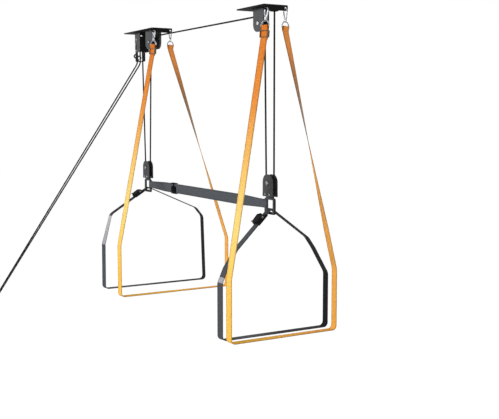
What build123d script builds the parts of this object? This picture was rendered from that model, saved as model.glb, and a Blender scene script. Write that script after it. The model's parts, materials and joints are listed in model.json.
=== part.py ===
from build123d import *
import math
import os

os.makedirs("parts", exist_ok=True)

# A ceiling storage hoist, in millimetres: two ceiling plates, one rope, two moving blocks with slings.
# X runs from the brake end to the far end and Z is up.
# The origin is the middle of the brake plate's screw pattern, on the ceiling face.

# Folded ceiling plates
PLATE_T = 3.0
PLATE_W = 73.0
BEND_R = 2.0
FLANGE_H = 16.0
FLANGE_CORNER_R = 4.0
PLATE_TIP_R = 6.0
MAIN_PLATE_L = 262.0
END_PLATE_L = 159.0
FLANGE_PITCH = 742.0
SCREW_R = 4.0
SCREW_ROW_PITCH = 44.0
MAIN_SCREW_INSET = 21.0
END_SCREW_TIP_INSET = 16.0
END_SCREW_FLANGE_INSET = 28.0
HOOK_HOLE_R = 3.75
HOOK_HOLE_SIDE = 6.5
HOOK_HOLE_EDGE = 6.5

# Clearances: running fit on a pin, gap beside a moving piece, gap round webbing, gap under a rope
FIT = 0.05
RUN = 0.35
SOFT = 0.35
ROPE_GAP = 0.3

# How far a cutter runs past a face, how far two fused bodies reach into each other, and a match tolerance
PAST = 1.0
LAP = 0.5
TOL = 0.01

# Rope and sheaves
ROPE_R = 2.5
SHEAVE_PITCH_R = 20.5
SHEAVE_LIP = 2.2
SHEAVE_WALL = 3.2
SHEAVE_HUB_WALL = 5.0
SHEAVE_RIM_WALL = 2.2
SHEAVE_DISH = 2.5
SHEAVE_SIDE_GAP = 0.6
OVER_DEG = 45.0
GROOVE_FLARE = 20.0
AXLE_R = 4.0
AXLE_HEAD_OVER = 2.5
AXLE_HEAD_H = 3.0
RIVET_DOME = 0.7

# Sheave yokes under the plates
YOKE_W = 57.0
MAIN_YOKE_GAP = 30.0
YOKE_T = 2.5
YOKE_SKIRT = 23.0
YOKE_CORNER_R = 22.0
ROPE_PASS = 4.6
MAIN_SHEAVE_INSET = 77.0
END_SHEAVE_INSET = 81.0
SPACER_WALL = 2.45

# Rope anchor behind the far flange
ANCHOR_W = 14.0
ANCHOR_GAP = 18.0
ANCHOR_T = 2.0
ANCHOR_DEPTH = 15.0
KNOT_RING_R = 4.1
KNOT_PITCH = 4.2
KNOT_TURNS = 2
KNOT_CORE_UP = 1.5

# Brake
BRAKE_ROLLER_INSET = 186.5
BRAKE_ROLLER_DROP = 26.0
BRAKE_PITCH_R = 9.5
BRAKE_LIP = 2.0
BRAKE_WALL = 1.95
BRAKE_HUB_STEP = 0.7
BRAKE_PIN_R = 3.0
BRAKE_PIN_HEAD_OVER = 2.1
BRAKE_PIN_HEAD_H = 2.0
HOUSING_T = 2.5
HOUSING_GAP = 30.0
HOUSING_SKIRT = 10.65
HOUSING_FRONT = 29.5
HOUSING_BACK_EDGE = 2.2
HOUSING_BACK_R = 17.0
HOUSING_CORNER_R = 4.0
FRONT_HOLE_R = 4.4
FRONT_HOLE_PITCH = 21.0
FRONT_HOLE_DROP = 18.0
ANVIL_T = 2.0
ANVIL_TOP_DROP = 32.0
ANVIL_H = 24.0
LOCK_R = 5.0
LOCK_W = 24.4
LOCK_PIN_R = 2.5
LOCK_GAP = 1.0
LOCK_TRAVEL_X = 2.3
LOCK_TRAVEL_Z = 15.0
LOCK_PIN_OVER = 1.9
CLIP_R = 4.4
CLIP_T = 0.9
CLIP_MOUTH = 4.0

# Rope guide below the brake
GUIDE_T = 2.0
GUIDE_BACK = 7.5
GUIDE_FRONT = 11.5
GUIDE_DROP = 32.0
GUIDE_LAP = 9.0
GUIDE_EYE_R = 3.0
GUIDE_TONGUE_OVER = 6.0
GUIDE_TONGUE_R = 5.0
GUIDE_RIVET_R = 2.0
GUIDE_RIVET_EDGE = 4.5
GUIDE_HEAD_OVER = 1.4
GUIDE_HEAD_H = 0.8
RETURN_EYE_X = -12.0
RETURN_EYE_Y = -6.5

# Moving blocks and hangers
BLOCK_DROP = 483.0
BLOCK_SIDE = 4.8
BLOCK_FLARE = 1.0
BLOCK_FLARE_H = 15.0
BLOCK_TOP_OVER = 1.8
BLOCK_TOP_R = 22.0
BLOCK_FOOT_R = 3.0
CHEEK_T = 2.5
CHEEK_RIM_T = 1.2
CHEEK_BEVEL = 5.0
HANGER_T = 5.0
HANGER_LEG_W = 9.0
HANGER_TOP_BAR = 5.0
HANGER_MID_BAR = 4.0
HANGER_SLOT_H = 4.8
HANGER_BAR_H = 6.9
WINDOW_PLAY = 1.4
WINDOW_SIDE_PLAY = 7.8
WINDOW_CORNER_R = 1.0
TONGUE_W = 36.0
TONGUE_GAP = 2.8
TONGUE_LAP = 11.5
HANGER_NECK = 4.0
HANGER_CORNER_R = 6.0
HANGER_RIVET_PITCH = 22.0
HANGER_RIVET_R = 2.5
HANGER_HEAD_OVER = 1.5
HANGER_HEAD_H = 1.6
HANGER_SPACER_WALL = 1.75

# Webbing
WEB_W = 25.4
WEB_T = 1.8
BAR_ROUND = 2.0
SEW_L = 30.0
SPACER_W = 31.75
SPACER_END_W = 23.4
SPACER_NARROW_L = 130.0
SPACER_TAPER = 18.5
SLIDER_X = 216.0
SLIDER_L = 38.0
SLIDER_RAIL = 2.0
SLIDER_BAR = 4.5
SLIDER_BAR_T = 2.2

# Loaded route of each sling: Y, and Z below the block's axle, from the hanger to the lowest corner
MAIN_SLING_NEAR = [(-145.0, -160.0), (-173.0, -265.0), (-174.0, -425.0)]
MAIN_SLING_FAR = [(189.0, -153.0), (216.0, -186.0), (224.0, -425.0)]
END_SLING_NEAR = [(-111.0, -178.0), (-142.0, -226.0), (-159.0, -265.0), (-159.0, -425.0)]
END_SLING_FAR = [(121.0, -157.0), (144.0, -189.0), (189.0, -265.0), (189.0, -425.0)]
SLING_SHOULDER_R = 26.0
SLING_CORNER_R = 14.0

# Cam buckles on the slings
BUCKLE_ALONG = 41.0
BUCKLE_L = 38.0
BUCKLE_T = 2.0
BUCKLE_SIDE_GAP = 0.8
BUCKLE_WALL_H = 11.0
BUCKLE_WALL_LOW = 3.8
BUCKLE_WALL_TAIL = 5.8
BUCKLE_WALL_R = 2.0
BUCKLE_EAR = 5.0
BUCKLE_BAR_W = 4.0
BUCKLE_BAR_T = 1.6
BUCKLE_PIN_R = 2.0
BUCKLE_PIN_UP = 4.0
BUCKLE_PIN_OUT = 8.0
BUCKLE_PIN_HEAD_R = 3.0
BUCKLE_PIN_HEAD_H = 0.8
LEVER_HUB_R = 4.2
LEVER_NOSE_R = 1.6
LEVER_NOSE_BACK = 1.5
# Outline of the lever's thumb tab from its pin: up along the webbing, and away from the webbing
LEVER_TAB = [(0.0, 4.2), (-20.0, 3.15), (-21.5, 5.5), (-24.0, 5.0), (-22.5, 0.5), (-2.0, 0.0)]

# Safety straps: how far they stand out from each flange, their two sides, and the heights of their corners
MAIN_STRAP_OUT = 19.0
END_STRAP_OUT = 12.0
MAIN_STRAP_NEAR = 175.0
MAIN_STRAP_FAR = 235.0
END_STRAP_NEAR = 153.0
END_STRAP_FAR = 190.0
STRAP_SHOULDER = -733.0
STRAP_LOW = -908.0
STRAP_CORNER_R = 12.0
TWIST_STEPS = 12
# Where on its run each branch starts and ends its twist, as shares of the run
NEAR_TWIST = (0.8, 1.0)
FAR_TWIST = (0.0, 0.83)
CORNER_STEPS = 6

# Snap hooks, rings and adjusters
NEAR_HOOK_DEG = 5.0
NEAR_RING_DEG = 76.0
FAR_RING_DEG = 20.0
HOOK_WIRE_R = 2.0
HOOK_TOP_R = 8.5
HOOK_LOW_R = 4.0
HOOK_SPAN = 16.5
SWIVEL_R = 4.0
SWIVEL_H = 5.0
SWIVEL_RISE = 1.5
POST_R = 1.5
POST_HEAD_R = 2.6
POST_HEAD_H = 1.6
GATE_R = 2.2
GATE_FOOT = 0.5
GATE_TONGUE = 4.0
GATE_TONGUE_T = 1.6
GATE_TONGUE_HALF = 1.75
GATE_TONGUE_R = 1.2
GATE_PIN_R = 0.9
GATE_NOSE = 1.5
RING_WIRE_R = 1.75
RING_SIDE = 0.4
RING_TOP_HALF_W = 8.0
RING_SIDE_H = 4.0
RING_H = 14.0
RING_CORNER_R = 2.1
RING_SIDE_R = 3.0
RING_BOW_R = 5.0
EYE_TAIL_NEAR = 36.0
EYE_TAIL_FAR = 12.0
EYE_LAP = 6.0
EYE_SIDE = 0.2
EYE_PLAY = 0.1
ADJUSTER_DROP = 21.0
ADJUSTER_H = 19.0
ADJUSTER_RAIL = 1.6
ADJUSTER_BAR_R = 1.0
ADJUSTER_ROUND = 1.2

# Pull rope: where its two legs meet, below and to the side of the brake, and its hand loop
PULL_END = (-310.0, -480.0, -962.0)
PULL_BEND_R = 20.0
PULL_BEND_DROP = 7.0
HAND_KNOT_R = 7.6
HAND_KNOT_L = 20.0
HAND_KNOT_ROUND = 4.5
HAND_LEG_SIDE = 2.75
HAND_LOOP_R = 15.0
HAND_LOOP_L = 46.0

# Places that follow from the sizes above
MAIN_FLANGE_X = MAIN_PLATE_L / 2
END_FLANGE_X = MAIN_FLANGE_X + FLANGE_PITCH
MAIN_SHEAVE_X = MAIN_FLANGE_X - MAIN_SHEAVE_INSET
DEAD_END_X = END_FLANGE_X - PLATE_T - RUN - KNOT_RING_R - ROPE_R
END_SHEAVE_X = END_FLANGE_X - END_SHEAVE_INSET
BRAKE_X = MAIN_FLANGE_X - BRAKE_ROLLER_INSET
PULL_X = BRAKE_X - BRAKE_PITCH_R
MAIN_BLOCK_X = (MAIN_SHEAVE_X - SHEAVE_PITCH_R + BRAKE_X + BRAKE_PITCH_R) / 2
END_BLOCK_X = DEAD_END_X - SHEAVE_PITCH_R
AXLE_DROP = FLANGE_H + ROPE_PASS + ROPE_R + SHEAVE_PITCH_R
AXLE_HEAD_R = AXLE_R + AXLE_HEAD_OVER
SHEAVE_OUT_R = SHEAVE_PITCH_R + SHEAVE_LIP
SHEAVE_W = 2 * (ROPE_R + ROPE_GAP + SHEAVE_WALL)
YOKE_DEPTH = AXLE_DROP + YOKE_SKIRT - PLATE_T
HOOK_HOLE_Y = PLATE_W / 2 - HOOK_HOLE_SIDE
HOOK_HOLE_DROP = FLANGE_H - HOOK_HOLE_EDGE
SHEAVE_GAP = SHEAVE_W + 2 * SHEAVE_SIDE_GAP
BLOCK_OUT = SHEAVE_GAP / 2 + CHEEK_T
BLOCK_W = 2 * (SHEAVE_OUT_R + BLOCK_SIDE)
BLOCK_FOOT = SHEAVE_OUT_R + TONGUE_GAP + TONGUE_LAP
TONGUE_TOP = -(SHEAVE_OUT_R + TONGUE_GAP)
HANGER_TOP = -(BLOCK_FOOT + HANGER_NECK)
WINDOW_TOP = HANGER_TOP - HANGER_TOP_BAR
WINDOW_LOW = WINDOW_TOP - SPACER_END_W - WINDOW_PLAY
WINDOW_W = WEB_W + WEB_T + WINDOW_SIDE_PLAY
HANGER_W = WINDOW_W + 2 * HANGER_LEG_W
SLING_SHIFT = (WEB_T + SOFT) / 2
SLOT_TOP = WINDOW_LOW - HANGER_MID_BAR
SLOT_LOW = SLOT_TOP - HANGER_SLOT_H
HANGER_LOW = SLOT_LOW - HANGER_BAR_H
HANGER_RIVET_Z = (TONGUE_TOP - BLOCK_FOOT) / 2
SPACER_STRAP_Z = -BLOCK_DROP + (WINDOW_TOP + WINDOW_LOW) / 2
ANVIL_FACE_X = PULL_X - ROPE_R - RUN
HOUSING_LEFT = ANVIL_FACE_X - HOUSING_BACK_EDGE
HOUSING_RIGHT = BRAKE_X + HOUSING_FRONT
HOUSING_OUT = HOUSING_GAP / 2 + HOUSING_T
BRAKE_OUT_R = BRAKE_PITCH_R + BRAKE_LIP
LOCK_X = PULL_X + ROPE_R + RUN + LOCK_R
LOCK_DROP = BRAKE_ROLLER_DROP + BRAKE_OUT_R + LOCK_GAP + LOCK_R
HOUSING_LOW = -(LOCK_DROP + LOCK_TRAVEL_Z + LOCK_PIN_R + RUN + HOUSING_SKIRT)
GUIDE_TOP = HOUSING_LOW + GUIDE_LAP
GUIDE_LOW = HOUSING_LOW - GUIDE_DROP
GUIDE_LEFT = PULL_X - GUIDE_BACK
GUIDE_RIGHT = PULL_X + GUIDE_FRONT
GUIDE_RIVET_X = GUIDE_RIGHT - GUIDE_RIVET_EDGE
GUIDE_RIVET_Z = GUIDE_TOP - GUIDE_LAP / 2
RETURN_X = PULL_X + RETURN_EYE_X
HOOK_TOP_Z = -HOOK_HOLE_DROP - HOOK_HOLE_R + RUN + HOOK_WIRE_R
HOOK_LOW = -HOOK_TOP_R - HOOK_SPAN - HOOK_LOW_R
SWIVEL_TOP = HOOK_LOW + SWIVEL_RISE
RING_TOP = SWIVEL_TOP - SWIVEL_H - RUN - RING_WIRE_R
HOOK_TAPER = math.asin((HOOK_TOP_R - HOOK_LOW_R) / HOOK_SPAN)
GATE_SIDE = HOOK_SPAN * math.cos(HOOK_TAPER)
GATE_PIN_UP = GATE_FOOT + GATE_TONGUE / 2
RING_BAR = RING_TOP - RING_H
EYE_HALF_W = WEB_W / 2 + EYE_SIDE
EYE_R = RING_WIRE_R + SOFT
TAIL_HALF = WEB_T + EYE_PLAY
RING_HALF_W = EYE_HALF_W + RING_SIDE + RING_CORNER_R


def slab_xy(face, low, high):
    return extrude(Pos(0, 0, low) * face, amount=high - low)


def slab_xz(face, low, high):
    return extrude(Plane.XZ.offset(-high) * face, amount=high - low)


def slab_yz(face, low, high):
    return extrude(Plane.YZ.offset(low) * face, amount=high - low)


def rod_x(y, z, radius, low, high):
    return Pos((low + high) / 2, y, z) * Rot(0, 90, 0) * Cylinder(radius, high - low)


def rod_y(x, z, radius, low, high):
    return Pos(x, (low + high) / 2, z) * Rot(90, 0, 0) * Cylinder(radius, high - low)


def rod_z(x, y, radius, low, high):
    return Pos(x, y, (low + high) / 2) * Cylinder(radius, high - low)


def rect(low_a, high_a, low_b, high_b):
    return Pos((low_a + high_a) / 2, (low_b + high_b) / 2) * Rectangle(high_a - low_a, high_b - low_b)


def polygon(points):
    return make_face(Polyline(*points, close=True))


def rounded(face, radius, keep):
    return fillet([v for v in face.vertices() if keep(v.X, v.Y)], radius)


def rivet(x, z, radius, low, high, head_r, head_h):
    near = rod_y(x, z, head_r, low - head_h, low)
    far = rod_y(x, z, head_r, high, high + head_h)
    near = fillet(near.edges().group_by(Axis.Y)[0], head_h * RIVET_DOME)
    far = fillet(far.edges().group_by(Axis.Y)[-1], head_h * RIVET_DOME)
    return rod_y(x, z, radius, low, high) + near + far


def write(shape, node):
    export_step(shape, "parts/" + node + ".step")


def group(solids):
    return Compound(children=[s.solid() for s in solids])


# Ceiling plates
def ceiling_plate(tip, flange, screw_rows):
    face = polygon([(tip, 0), (flange, 0), (flange, -FLANGE_H), (flange - PLATE_T, -FLANGE_H),
                    (flange - PLATE_T, -PLATE_T), (tip, -PLATE_T)])
    face = rounded(face, BEND_R, lambda x, z: abs(x - flange + PLATE_T) < TOL and abs(z + PLATE_T) < TOL)
    face = rounded(face, BEND_R + PLATE_T, lambda x, z: abs(x - flange) < TOL and abs(z) < TOL)
    plate = slab_xz(face, -PLATE_W / 2, PLATE_W / 2)
    plate = fillet(plate.edges().filter_by(Axis.X).group_by(Axis.Z)[0], FLANGE_CORNER_R)
    plate = fillet(plate.edges().filter_by(Axis.Z).group_by(Axis.X)[0], PLATE_TIP_R)
    for x in screw_rows:
        for side in (-1, 1):
            plate -= rod_z(x, side * SCREW_ROW_PITCH / 2, SCREW_R, -2 * PLATE_T, PLATE_T)
    for side in (-1, 1):
        plate -= rod_x(side * HOOK_HOLE_Y, -HOOK_HOLE_DROP, HOOK_HOLE_R, flange - 2 * PLATE_T, flange + PAST)
    return plate


def channel(left, right, gap, wall, depth):
    """Folded channel under a plate, open below, with rounded bends."""
    out = gap / 2 + wall
    low = -PLATE_T - depth
    outer = rounded(rect(-out, out, low, -PLATE_T), BEND_R + wall, lambda y, z: z > low + TOL)
    inner = rounded(rect(-gap / 2, gap / 2, low - PAST, -PLATE_T - wall), BEND_R, lambda y, z: z > low)
    return slab_yz(outer - inner, left, right)


def sheave_yoke(x, gap):
    low = -PLATE_T - YOKE_DEPTH
    out = gap / 2 + YOKE_T
    outline = rect(x - YOKE_W / 2, x + YOKE_W / 2, low, -PLATE_T)
    outline = rounded(outline, YOKE_CORNER_R, lambda a, b: b < low + TOL)
    yoke = channel(x - YOKE_W / 2, x + YOKE_W / 2, gap, YOKE_T, YOKE_DEPTH)
    yoke = yoke & slab_xz(outline, -out - PAST, out + PAST)
    return yoke - rod_y(x, -AXLE_DROP, AXLE_R, -out - PAST, out + PAST)


def yoke_axle(x, gap):
    out = gap / 2 + YOKE_T
    return rivet(x, -AXLE_DROP, AXLE_R, -out, out, AXLE_HEAD_R, AXLE_HEAD_H)


def axle_spacers(x, gap):
    sleeves = []
    for side in (-1, 1):
        ends = sorted((side * (SHEAVE_W / 2 + RUN), side * gap / 2))
        sleeve = rod_y(x, -AXLE_DROP, AXLE_R + FIT + SPACER_WALL, ends[0], ends[1])
        sleeves.append(sleeve - rod_y(x, -AXLE_DROP, AXLE_R + FIT, ends[0] - PAST, ends[1] + PAST))
    return sleeves


# Grooved wheels
def grooved_wheel(pitch, lip, side):
    """Wheel turned about Y: a rope groove, and a side drawn from its rim to its bore."""
    groove = ROPE_R + ROPE_GAP
    mouth = groove + lip * math.tan(math.radians(GROOVE_FLARE))
    half = [(pitch, groove), (pitch + lip, mouth)] + side
    mirror = [(r, -y) for r, y in half[::-1]]
    root = ThreePointArc((pitch, -groove), (pitch - groove, 0), (pitch, groove))
    return revolve(make_face(Polyline(*half, *mirror) + root), axis=Axis.Y)


def rope_sheave(x, z):
    rim = SHEAVE_PITCH_R - ROPE_R - ROPE_GAP - SHEAVE_RIM_WALL
    hub = AXLE_R + SHEAVE_HUB_WALL
    half = SHEAVE_W / 2
    web = half - SHEAVE_DISH
    side = [(SHEAVE_OUT_R, half), (rim, half), (rim, web), (hub, web), (hub, half), (AXLE_R + FIT, half)]
    return Pos(x, 0, z) * grooved_wheel(SHEAVE_PITCH_R, SHEAVE_LIP, side)


def rope_anchor():
    low = -PLATE_T - ANCHOR_DEPTH
    out = ANCHOR_GAP / 2 + ANCHOR_T
    outer = rounded(rect(-out, out, low, -PLATE_T), BEND_R + ANCHOR_T, lambda y, z: z < low + TOL)
    inner = rounded(rect(-ANCHOR_GAP / 2, ANCHOR_GAP / 2, low + ANCHOR_T, 1), BEND_R, lambda y, z: z < 0)
    right = END_FLANGE_X - PLATE_T - BEND_R
    strip = slab_yz(outer - inner, right - ANCHOR_W, right)
    return strip - rod_z(DEAD_END_X, 0, ROPE_R + RUN, low - PAST, low + ANCHOR_T + PAST)


# Brake
def brake_housing():
    low = HOUSING_LOW
    housing = channel(HOUSING_LEFT, HOUSING_RIGHT, HOUSING_GAP, HOUSING_T, -low - PLATE_T)
    outline = rect(HOUSING_LEFT, HOUSING_RIGHT, low, -PLATE_T)
    outline = rounded(outline, HOUSING_BACK_R, lambda x, z: z < low + TOL and x < HOUSING_LEFT + TOL)
    outline = rounded(outline, HOUSING_CORNER_R, lambda x, z: z < low + TOL and x > HOUSING_RIGHT - TOL)
    housing = housing & slab_xz(outline, -HOUSING_OUT - PAST, HOUSING_OUT + PAST)
    front = rect(-HOUSING_GAP / 2 - LAP, HOUSING_GAP / 2 + LAP, low, -PLATE_T - HOUSING_T / 2)
    front = slab_yz(front, HOUSING_RIGHT - HOUSING_T, HOUSING_RIGHT)
    for side in (-1, 1):
        front -= rod_x(side * FRONT_HOLE_PITCH / 2, -FRONT_HOLE_DROP, FRONT_HOLE_R,
                       HOUSING_RIGHT - 2 * HOUSING_T, HOUSING_RIGHT + PAST)
    housing += front & slab_xz(outline, -HOUSING_OUT - PAST, HOUSING_OUT + PAST)
    housing -= rod_y(BRAKE_X, -BRAKE_ROLLER_DROP, BRAKE_PIN_R, -HOUSING_OUT - PAST, HOUSING_OUT + PAST)
    slot = SlotCenterToCenter(math.hypot(LOCK_TRAVEL_X, LOCK_TRAVEL_Z), 2 * (LOCK_PIN_R + RUN))
    lean = -math.degrees(math.atan2(LOCK_TRAVEL_Z, LOCK_TRAVEL_X))
    slot = Pos(LOCK_X + LOCK_TRAVEL_X / 2, -LOCK_DROP - LOCK_TRAVEL_Z / 2) * Rot(0, 0, lean) * slot
    housing -= slab_xz(slot, -HOUSING_OUT - PAST, HOUSING_OUT + PAST)
    for side in (-1, 1):
        housing -= guide_rivet_hole(side)
    return housing


def brake_roller():
    hub = BRAKE_PITCH_R - ROPE_R - ROPE_GAP - BRAKE_HUB_STEP
    rim = ROPE_R + ROPE_GAP + BRAKE_WALL
    half = HOUSING_GAP / 2 - RUN
    side = [(BRAKE_OUT_R, rim), (hub, rim), (hub, half), (BRAKE_PIN_R + FIT, half)]
    return Pos(BRAKE_X, 0, -BRAKE_ROLLER_DROP) * grooved_wheel(BRAKE_PITCH_R, BRAKE_LIP, side)


def brake_roller_pin():
    return rivet(BRAKE_X, -BRAKE_ROLLER_DROP, BRAKE_PIN_R, -HOUSING_OUT, HOUSING_OUT,
                 BRAKE_PIN_R + BRAKE_PIN_HEAD_OVER, BRAKE_PIN_HEAD_H)


def lock_roller():
    reach = HOUSING_OUT + RUN + CLIP_T + LOCK_PIN_OVER
    roller = rod_y(LOCK_X, -LOCK_DROP, LOCK_R, -LOCK_W / 2, LOCK_W / 2)
    return roller + rod_y(LOCK_X, -LOCK_DROP, LOCK_PIN_R, -reach, reach)


def lock_clips():
    clips = []
    for side in (-1, 1):
        ends = sorted((side * (HOUSING_OUT + RUN), side * (HOUSING_OUT + RUN + CLIP_T)))
        disc = rod_y(LOCK_X, -LOCK_DROP, CLIP_R, ends[0], ends[1])
        disc -= rod_y(LOCK_X, -LOCK_DROP, LOCK_PIN_R, ends[0] - PAST, ends[1] + PAST)
        mouth = rect(LOCK_X - CLIP_MOUTH / 2, LOCK_X + CLIP_MOUTH / 2, -LOCK_DROP - 2 * CLIP_R, -LOCK_DROP)
        clips.append(disc - slab_xz(mouth, ends[0] - PAST, ends[1] + PAST))
    return clips


def brake_anvil():
    face = rect(ANVIL_FACE_X - ANVIL_T, ANVIL_FACE_X, -ANVIL_TOP_DROP - ANVIL_H, -ANVIL_TOP_DROP)
    return slab_xz(face, -HOUSING_GAP / 2, HOUSING_GAP / 2)


# Rope guide: a strip that hangs in the brake housing, with an eye for the rope and one for its tied-back end
def guide_rivet_hole(side):
    ends = sorted((side * (HOUSING_GAP / 2 - 2 * GUIDE_T), side * (HOUSING_OUT + PAST)))
    return rod_y(GUIDE_RIVET_X, GUIDE_RIVET_Z, GUIDE_RIVET_R, ends[0], ends[1])


def rope_guide():
    out = HOUSING_GAP / 2
    outer = rect(-out, out, GUIDE_LOW, GUIDE_TOP)
    outer = rounded(outer, BEND_R + GUIDE_T, lambda y, z: z < GUIDE_LOW + TOL)
    inner = rect(-out + GUIDE_T, out - GUIDE_T, GUIDE_LOW + GUIDE_T, GUIDE_TOP + PAST)
    inner = rounded(inner, BEND_R, lambda y, z: z < GUIDE_TOP)
    strip = slab_yz(outer - inner, GUIDE_LEFT, GUIDE_RIGHT)
    flat = out - BEND_R - GUIDE_T
    tongue = rect(RETURN_X - GUIDE_EYE_R - GUIDE_TONGUE_OVER, GUIDE_LEFT + PAST, -flat, flat)
    tongue = rounded(tongue, GUIDE_TONGUE_R, lambda x, y: x < GUIDE_LEFT)
    strip += slab_xy(tongue, GUIDE_LOW, GUIDE_LOW + GUIDE_T)
    for x, y in ((PULL_X, 0.0), (RETURN_X, RETURN_EYE_Y)):
        strip -= rod_z(x, y, GUIDE_EYE_R, GUIDE_LOW - PAST, GUIDE_LOW + GUIDE_T + PAST)
    for side in (-1, 1):
        strip -= guide_rivet_hole(side)
    return strip


def guide_rivets():
    rivets = []
    for side in (-1, 1):
        ends = sorted((side * (HOUSING_GAP / 2 - GUIDE_T), side * HOUSING_OUT))
        rivets.append(rivet(GUIDE_RIVET_X, GUIDE_RIVET_Z, GUIDE_RIVET_R, ends[0], ends[1],
                            GUIDE_RIVET_R + GUIDE_HEAD_OVER, GUIDE_HEAD_H))
    return rivets


# Moving blocks
def cheek_outline(x, inset):
    """Outline of a cheek, drawn in from its top and sides."""
    top = -BLOCK_DROP + SHEAVE_OUT_R + BLOCK_TOP_OVER - inset
    low = -BLOCK_DROP - BLOCK_FOOT
    waist = low + BLOCK_FLARE_H
    half = BLOCK_W / 2 - inset
    foot = half + BLOCK_FLARE
    face = polygon([(x - half, top), (x + half, top), (x + half, waist), (x + foot, low), (x - foot, low),
                    (x - half, waist)])
    face = rounded(face, BLOCK_TOP_R - inset, lambda a, b: b > top - TOL)
    return rounded(face, BLOCK_FOOT_R, lambda a, b: b < low + TOL)


def block_cheek(x, side):
    """Pressed plate: a flat rim, and a bevel from the rim up to a raised face."""
    rim = side * (SHEAVE_GAP / 2 + CHEEK_RIM_T)
    ends = sorted((side * SHEAVE_GAP / 2, side * BLOCK_OUT))
    cheek = slab_xz(cheek_outline(x, 0.0), *sorted((side * SHEAVE_GAP / 2, rim)))
    cheek += loft([Plane.XZ.offset(-rim) * cheek_outline(x, 0.0),
                   Plane.XZ.offset(-side * BLOCK_OUT) * cheek_outline(x, CHEEK_BEVEL)], ruled=True)
    cheek -= rod_y(x, -BLOCK_DROP, AXLE_R, ends[0] - PAST, ends[1] + PAST)
    for rivet_x in hanger_rivet_places(x):
        cheek -= rod_y(rivet_x, -BLOCK_DROP + HANGER_RIVET_Z, HANGER_RIVET_R, ends[0] - PAST, ends[1] + PAST)
    return cheek


def block_axle(x):
    return rivet(x, -BLOCK_DROP, AXLE_R, -BLOCK_OUT, BLOCK_OUT, AXLE_HEAD_R, AXLE_HEAD_H)


def hanger_rivet_places(x):
    return [x - HANGER_RIVET_PITCH / 2, x + HANGER_RIVET_PITCH / 2]


def hanger(x):
    """Flat frame: the window takes the spacer strap and the sling, and the slot below it is spare."""
    z = -BLOCK_DROP
    frame = rect(x - HANGER_W / 2, x + HANGER_W / 2, z + HANGER_LOW, z + HANGER_TOP)
    frame = fillet(frame.vertices(), HANGER_CORNER_R)
    frame += rect(x - TONGUE_W / 2, x + TONGUE_W / 2, z + HANGER_TOP - PAST, z + TONGUE_TOP)
    window = rect(x - WINDOW_W / 2, x + WINDOW_W / 2, z + WINDOW_LOW, z + WINDOW_TOP)
    frame -= fillet(window.vertices(), WINDOW_CORNER_R)
    slot = rect(x - WINDOW_W / 2, x + WINDOW_W / 2, z + SLOT_LOW, z + SLOT_TOP)
    frame -= fillet(slot.vertices(), WINDOW_CORNER_R)
    plate = slab_xz(frame, -HANGER_T / 2, HANGER_T / 2)
    for rivet_x in hanger_rivet_places(x):
        plate -= rod_y(rivet_x, z + HANGER_RIVET_Z, HANGER_RIVET_R, -HANGER_T, HANGER_T)
    return plate


def hanger_rivets(x):
    z = -BLOCK_DROP + HANGER_RIVET_Z
    head = HANGER_RIVET_R + HANGER_HEAD_OVER
    rivets = []
    for a in hanger_rivet_places(x):
        rivets.append(rivet(a, z, HANGER_RIVET_R, -BLOCK_OUT, BLOCK_OUT, head, HANGER_HEAD_H))
    return rivets


def hanger_spacers(x):
    z = -BLOCK_DROP + HANGER_RIVET_Z
    sleeves = []
    for a in hanger_rivet_places(x):
        for side in (-1, 1):
            ends = sorted((side * HANGER_T / 2, side * SHEAVE_GAP / 2))
            sleeve = rod_y(a, z, HANGER_RIVET_R + FIT + HANGER_SPACER_WALL, ends[0], ends[1])
            sleeves.append(sleeve - rod_y(a, z, HANGER_RIVET_R + FIT, ends[0] - PAST, ends[1] + PAST))
    return sleeves


# Rope: one line from the anchor to the hand, round every wheel
def tangent_line(start, start_r, start_side, end, end_r, end_side):
    """Straight fall between two wheels; a side of 1 leaves on +X, -1 on -X."""
    dx = end[0] - start[0]
    dz = end[1] - start[1]
    turn = math.asin((start_side * start_r - end_side * end_r) / math.hypot(dx, dz))
    way = math.atan2(dz, dx) - turn
    nx = -math.sin(way)
    nz = math.cos(way)
    first = (start[0] + start_side * start_r * nx, start[1] + start_side * start_r * nz)
    last = (end[0] + end_side * end_r * nx, end[1] + end_side * end_r * nz)
    return first, last


def in_plane(point):
    return Vector(point[0], 0, point[1])


def wheel_arc(center, radius, start, end, through):
    """Arc round a wheel from one point of its pitch circle to another, past the given angle."""
    a = math.radians(through)
    mid = (center[0] + radius * math.cos(a), center[1] + radius * math.sin(a))
    return Edge.make_three_point_arc(in_plane(start), in_plane(mid), in_plane(end))


def tube(edges, radius, name):
    path = Wire(edges)
    solid = sweep(Plane(origin=path @ 0, z_dir=path % 0) * Circle(radius), path=path)
    share = solid.volume / (math.pi * radius ** 2 * path.length)
    print(name, "length", round(path.length, 1), "volume over section times length", round(share, 4))
    return solid


MAIN_SHEAVE = (MAIN_SHEAVE_X, -AXLE_DROP)
END_SHEAVE = (END_SHEAVE_X, -AXLE_DROP)
BRAKE = (BRAKE_X, -BRAKE_ROLLER_DROP)
MAIN_BLOCK = (MAIN_BLOCK_X, -BLOCK_DROP)
END_BLOCK = (END_BLOCK_X, -BLOCK_DROP)
ANCHOR = (DEAD_END_X, -PLATE_T - ANCHOR_DEPTH - RUN)
ROPE_TOP = -AXLE_DROP + SHEAVE_PITCH_R
DEAD_FALL = tangent_line(ANCHOR, 0.0, 1, END_BLOCK, SHEAVE_PITCH_R, 1)
END_FALL = tangent_line(END_SHEAVE, SHEAVE_PITCH_R, 1, END_BLOCK, SHEAVE_PITCH_R, -1)
MAIN_FALL = tangent_line(MAIN_SHEAVE, SHEAVE_PITCH_R, -1, MAIN_BLOCK, SHEAVE_PITCH_R, 1)
BRAKE_FALL = tangent_line(BRAKE, BRAKE_PITCH_R, 1, MAIN_BLOCK, SHEAVE_PITCH_R, -1)


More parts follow.
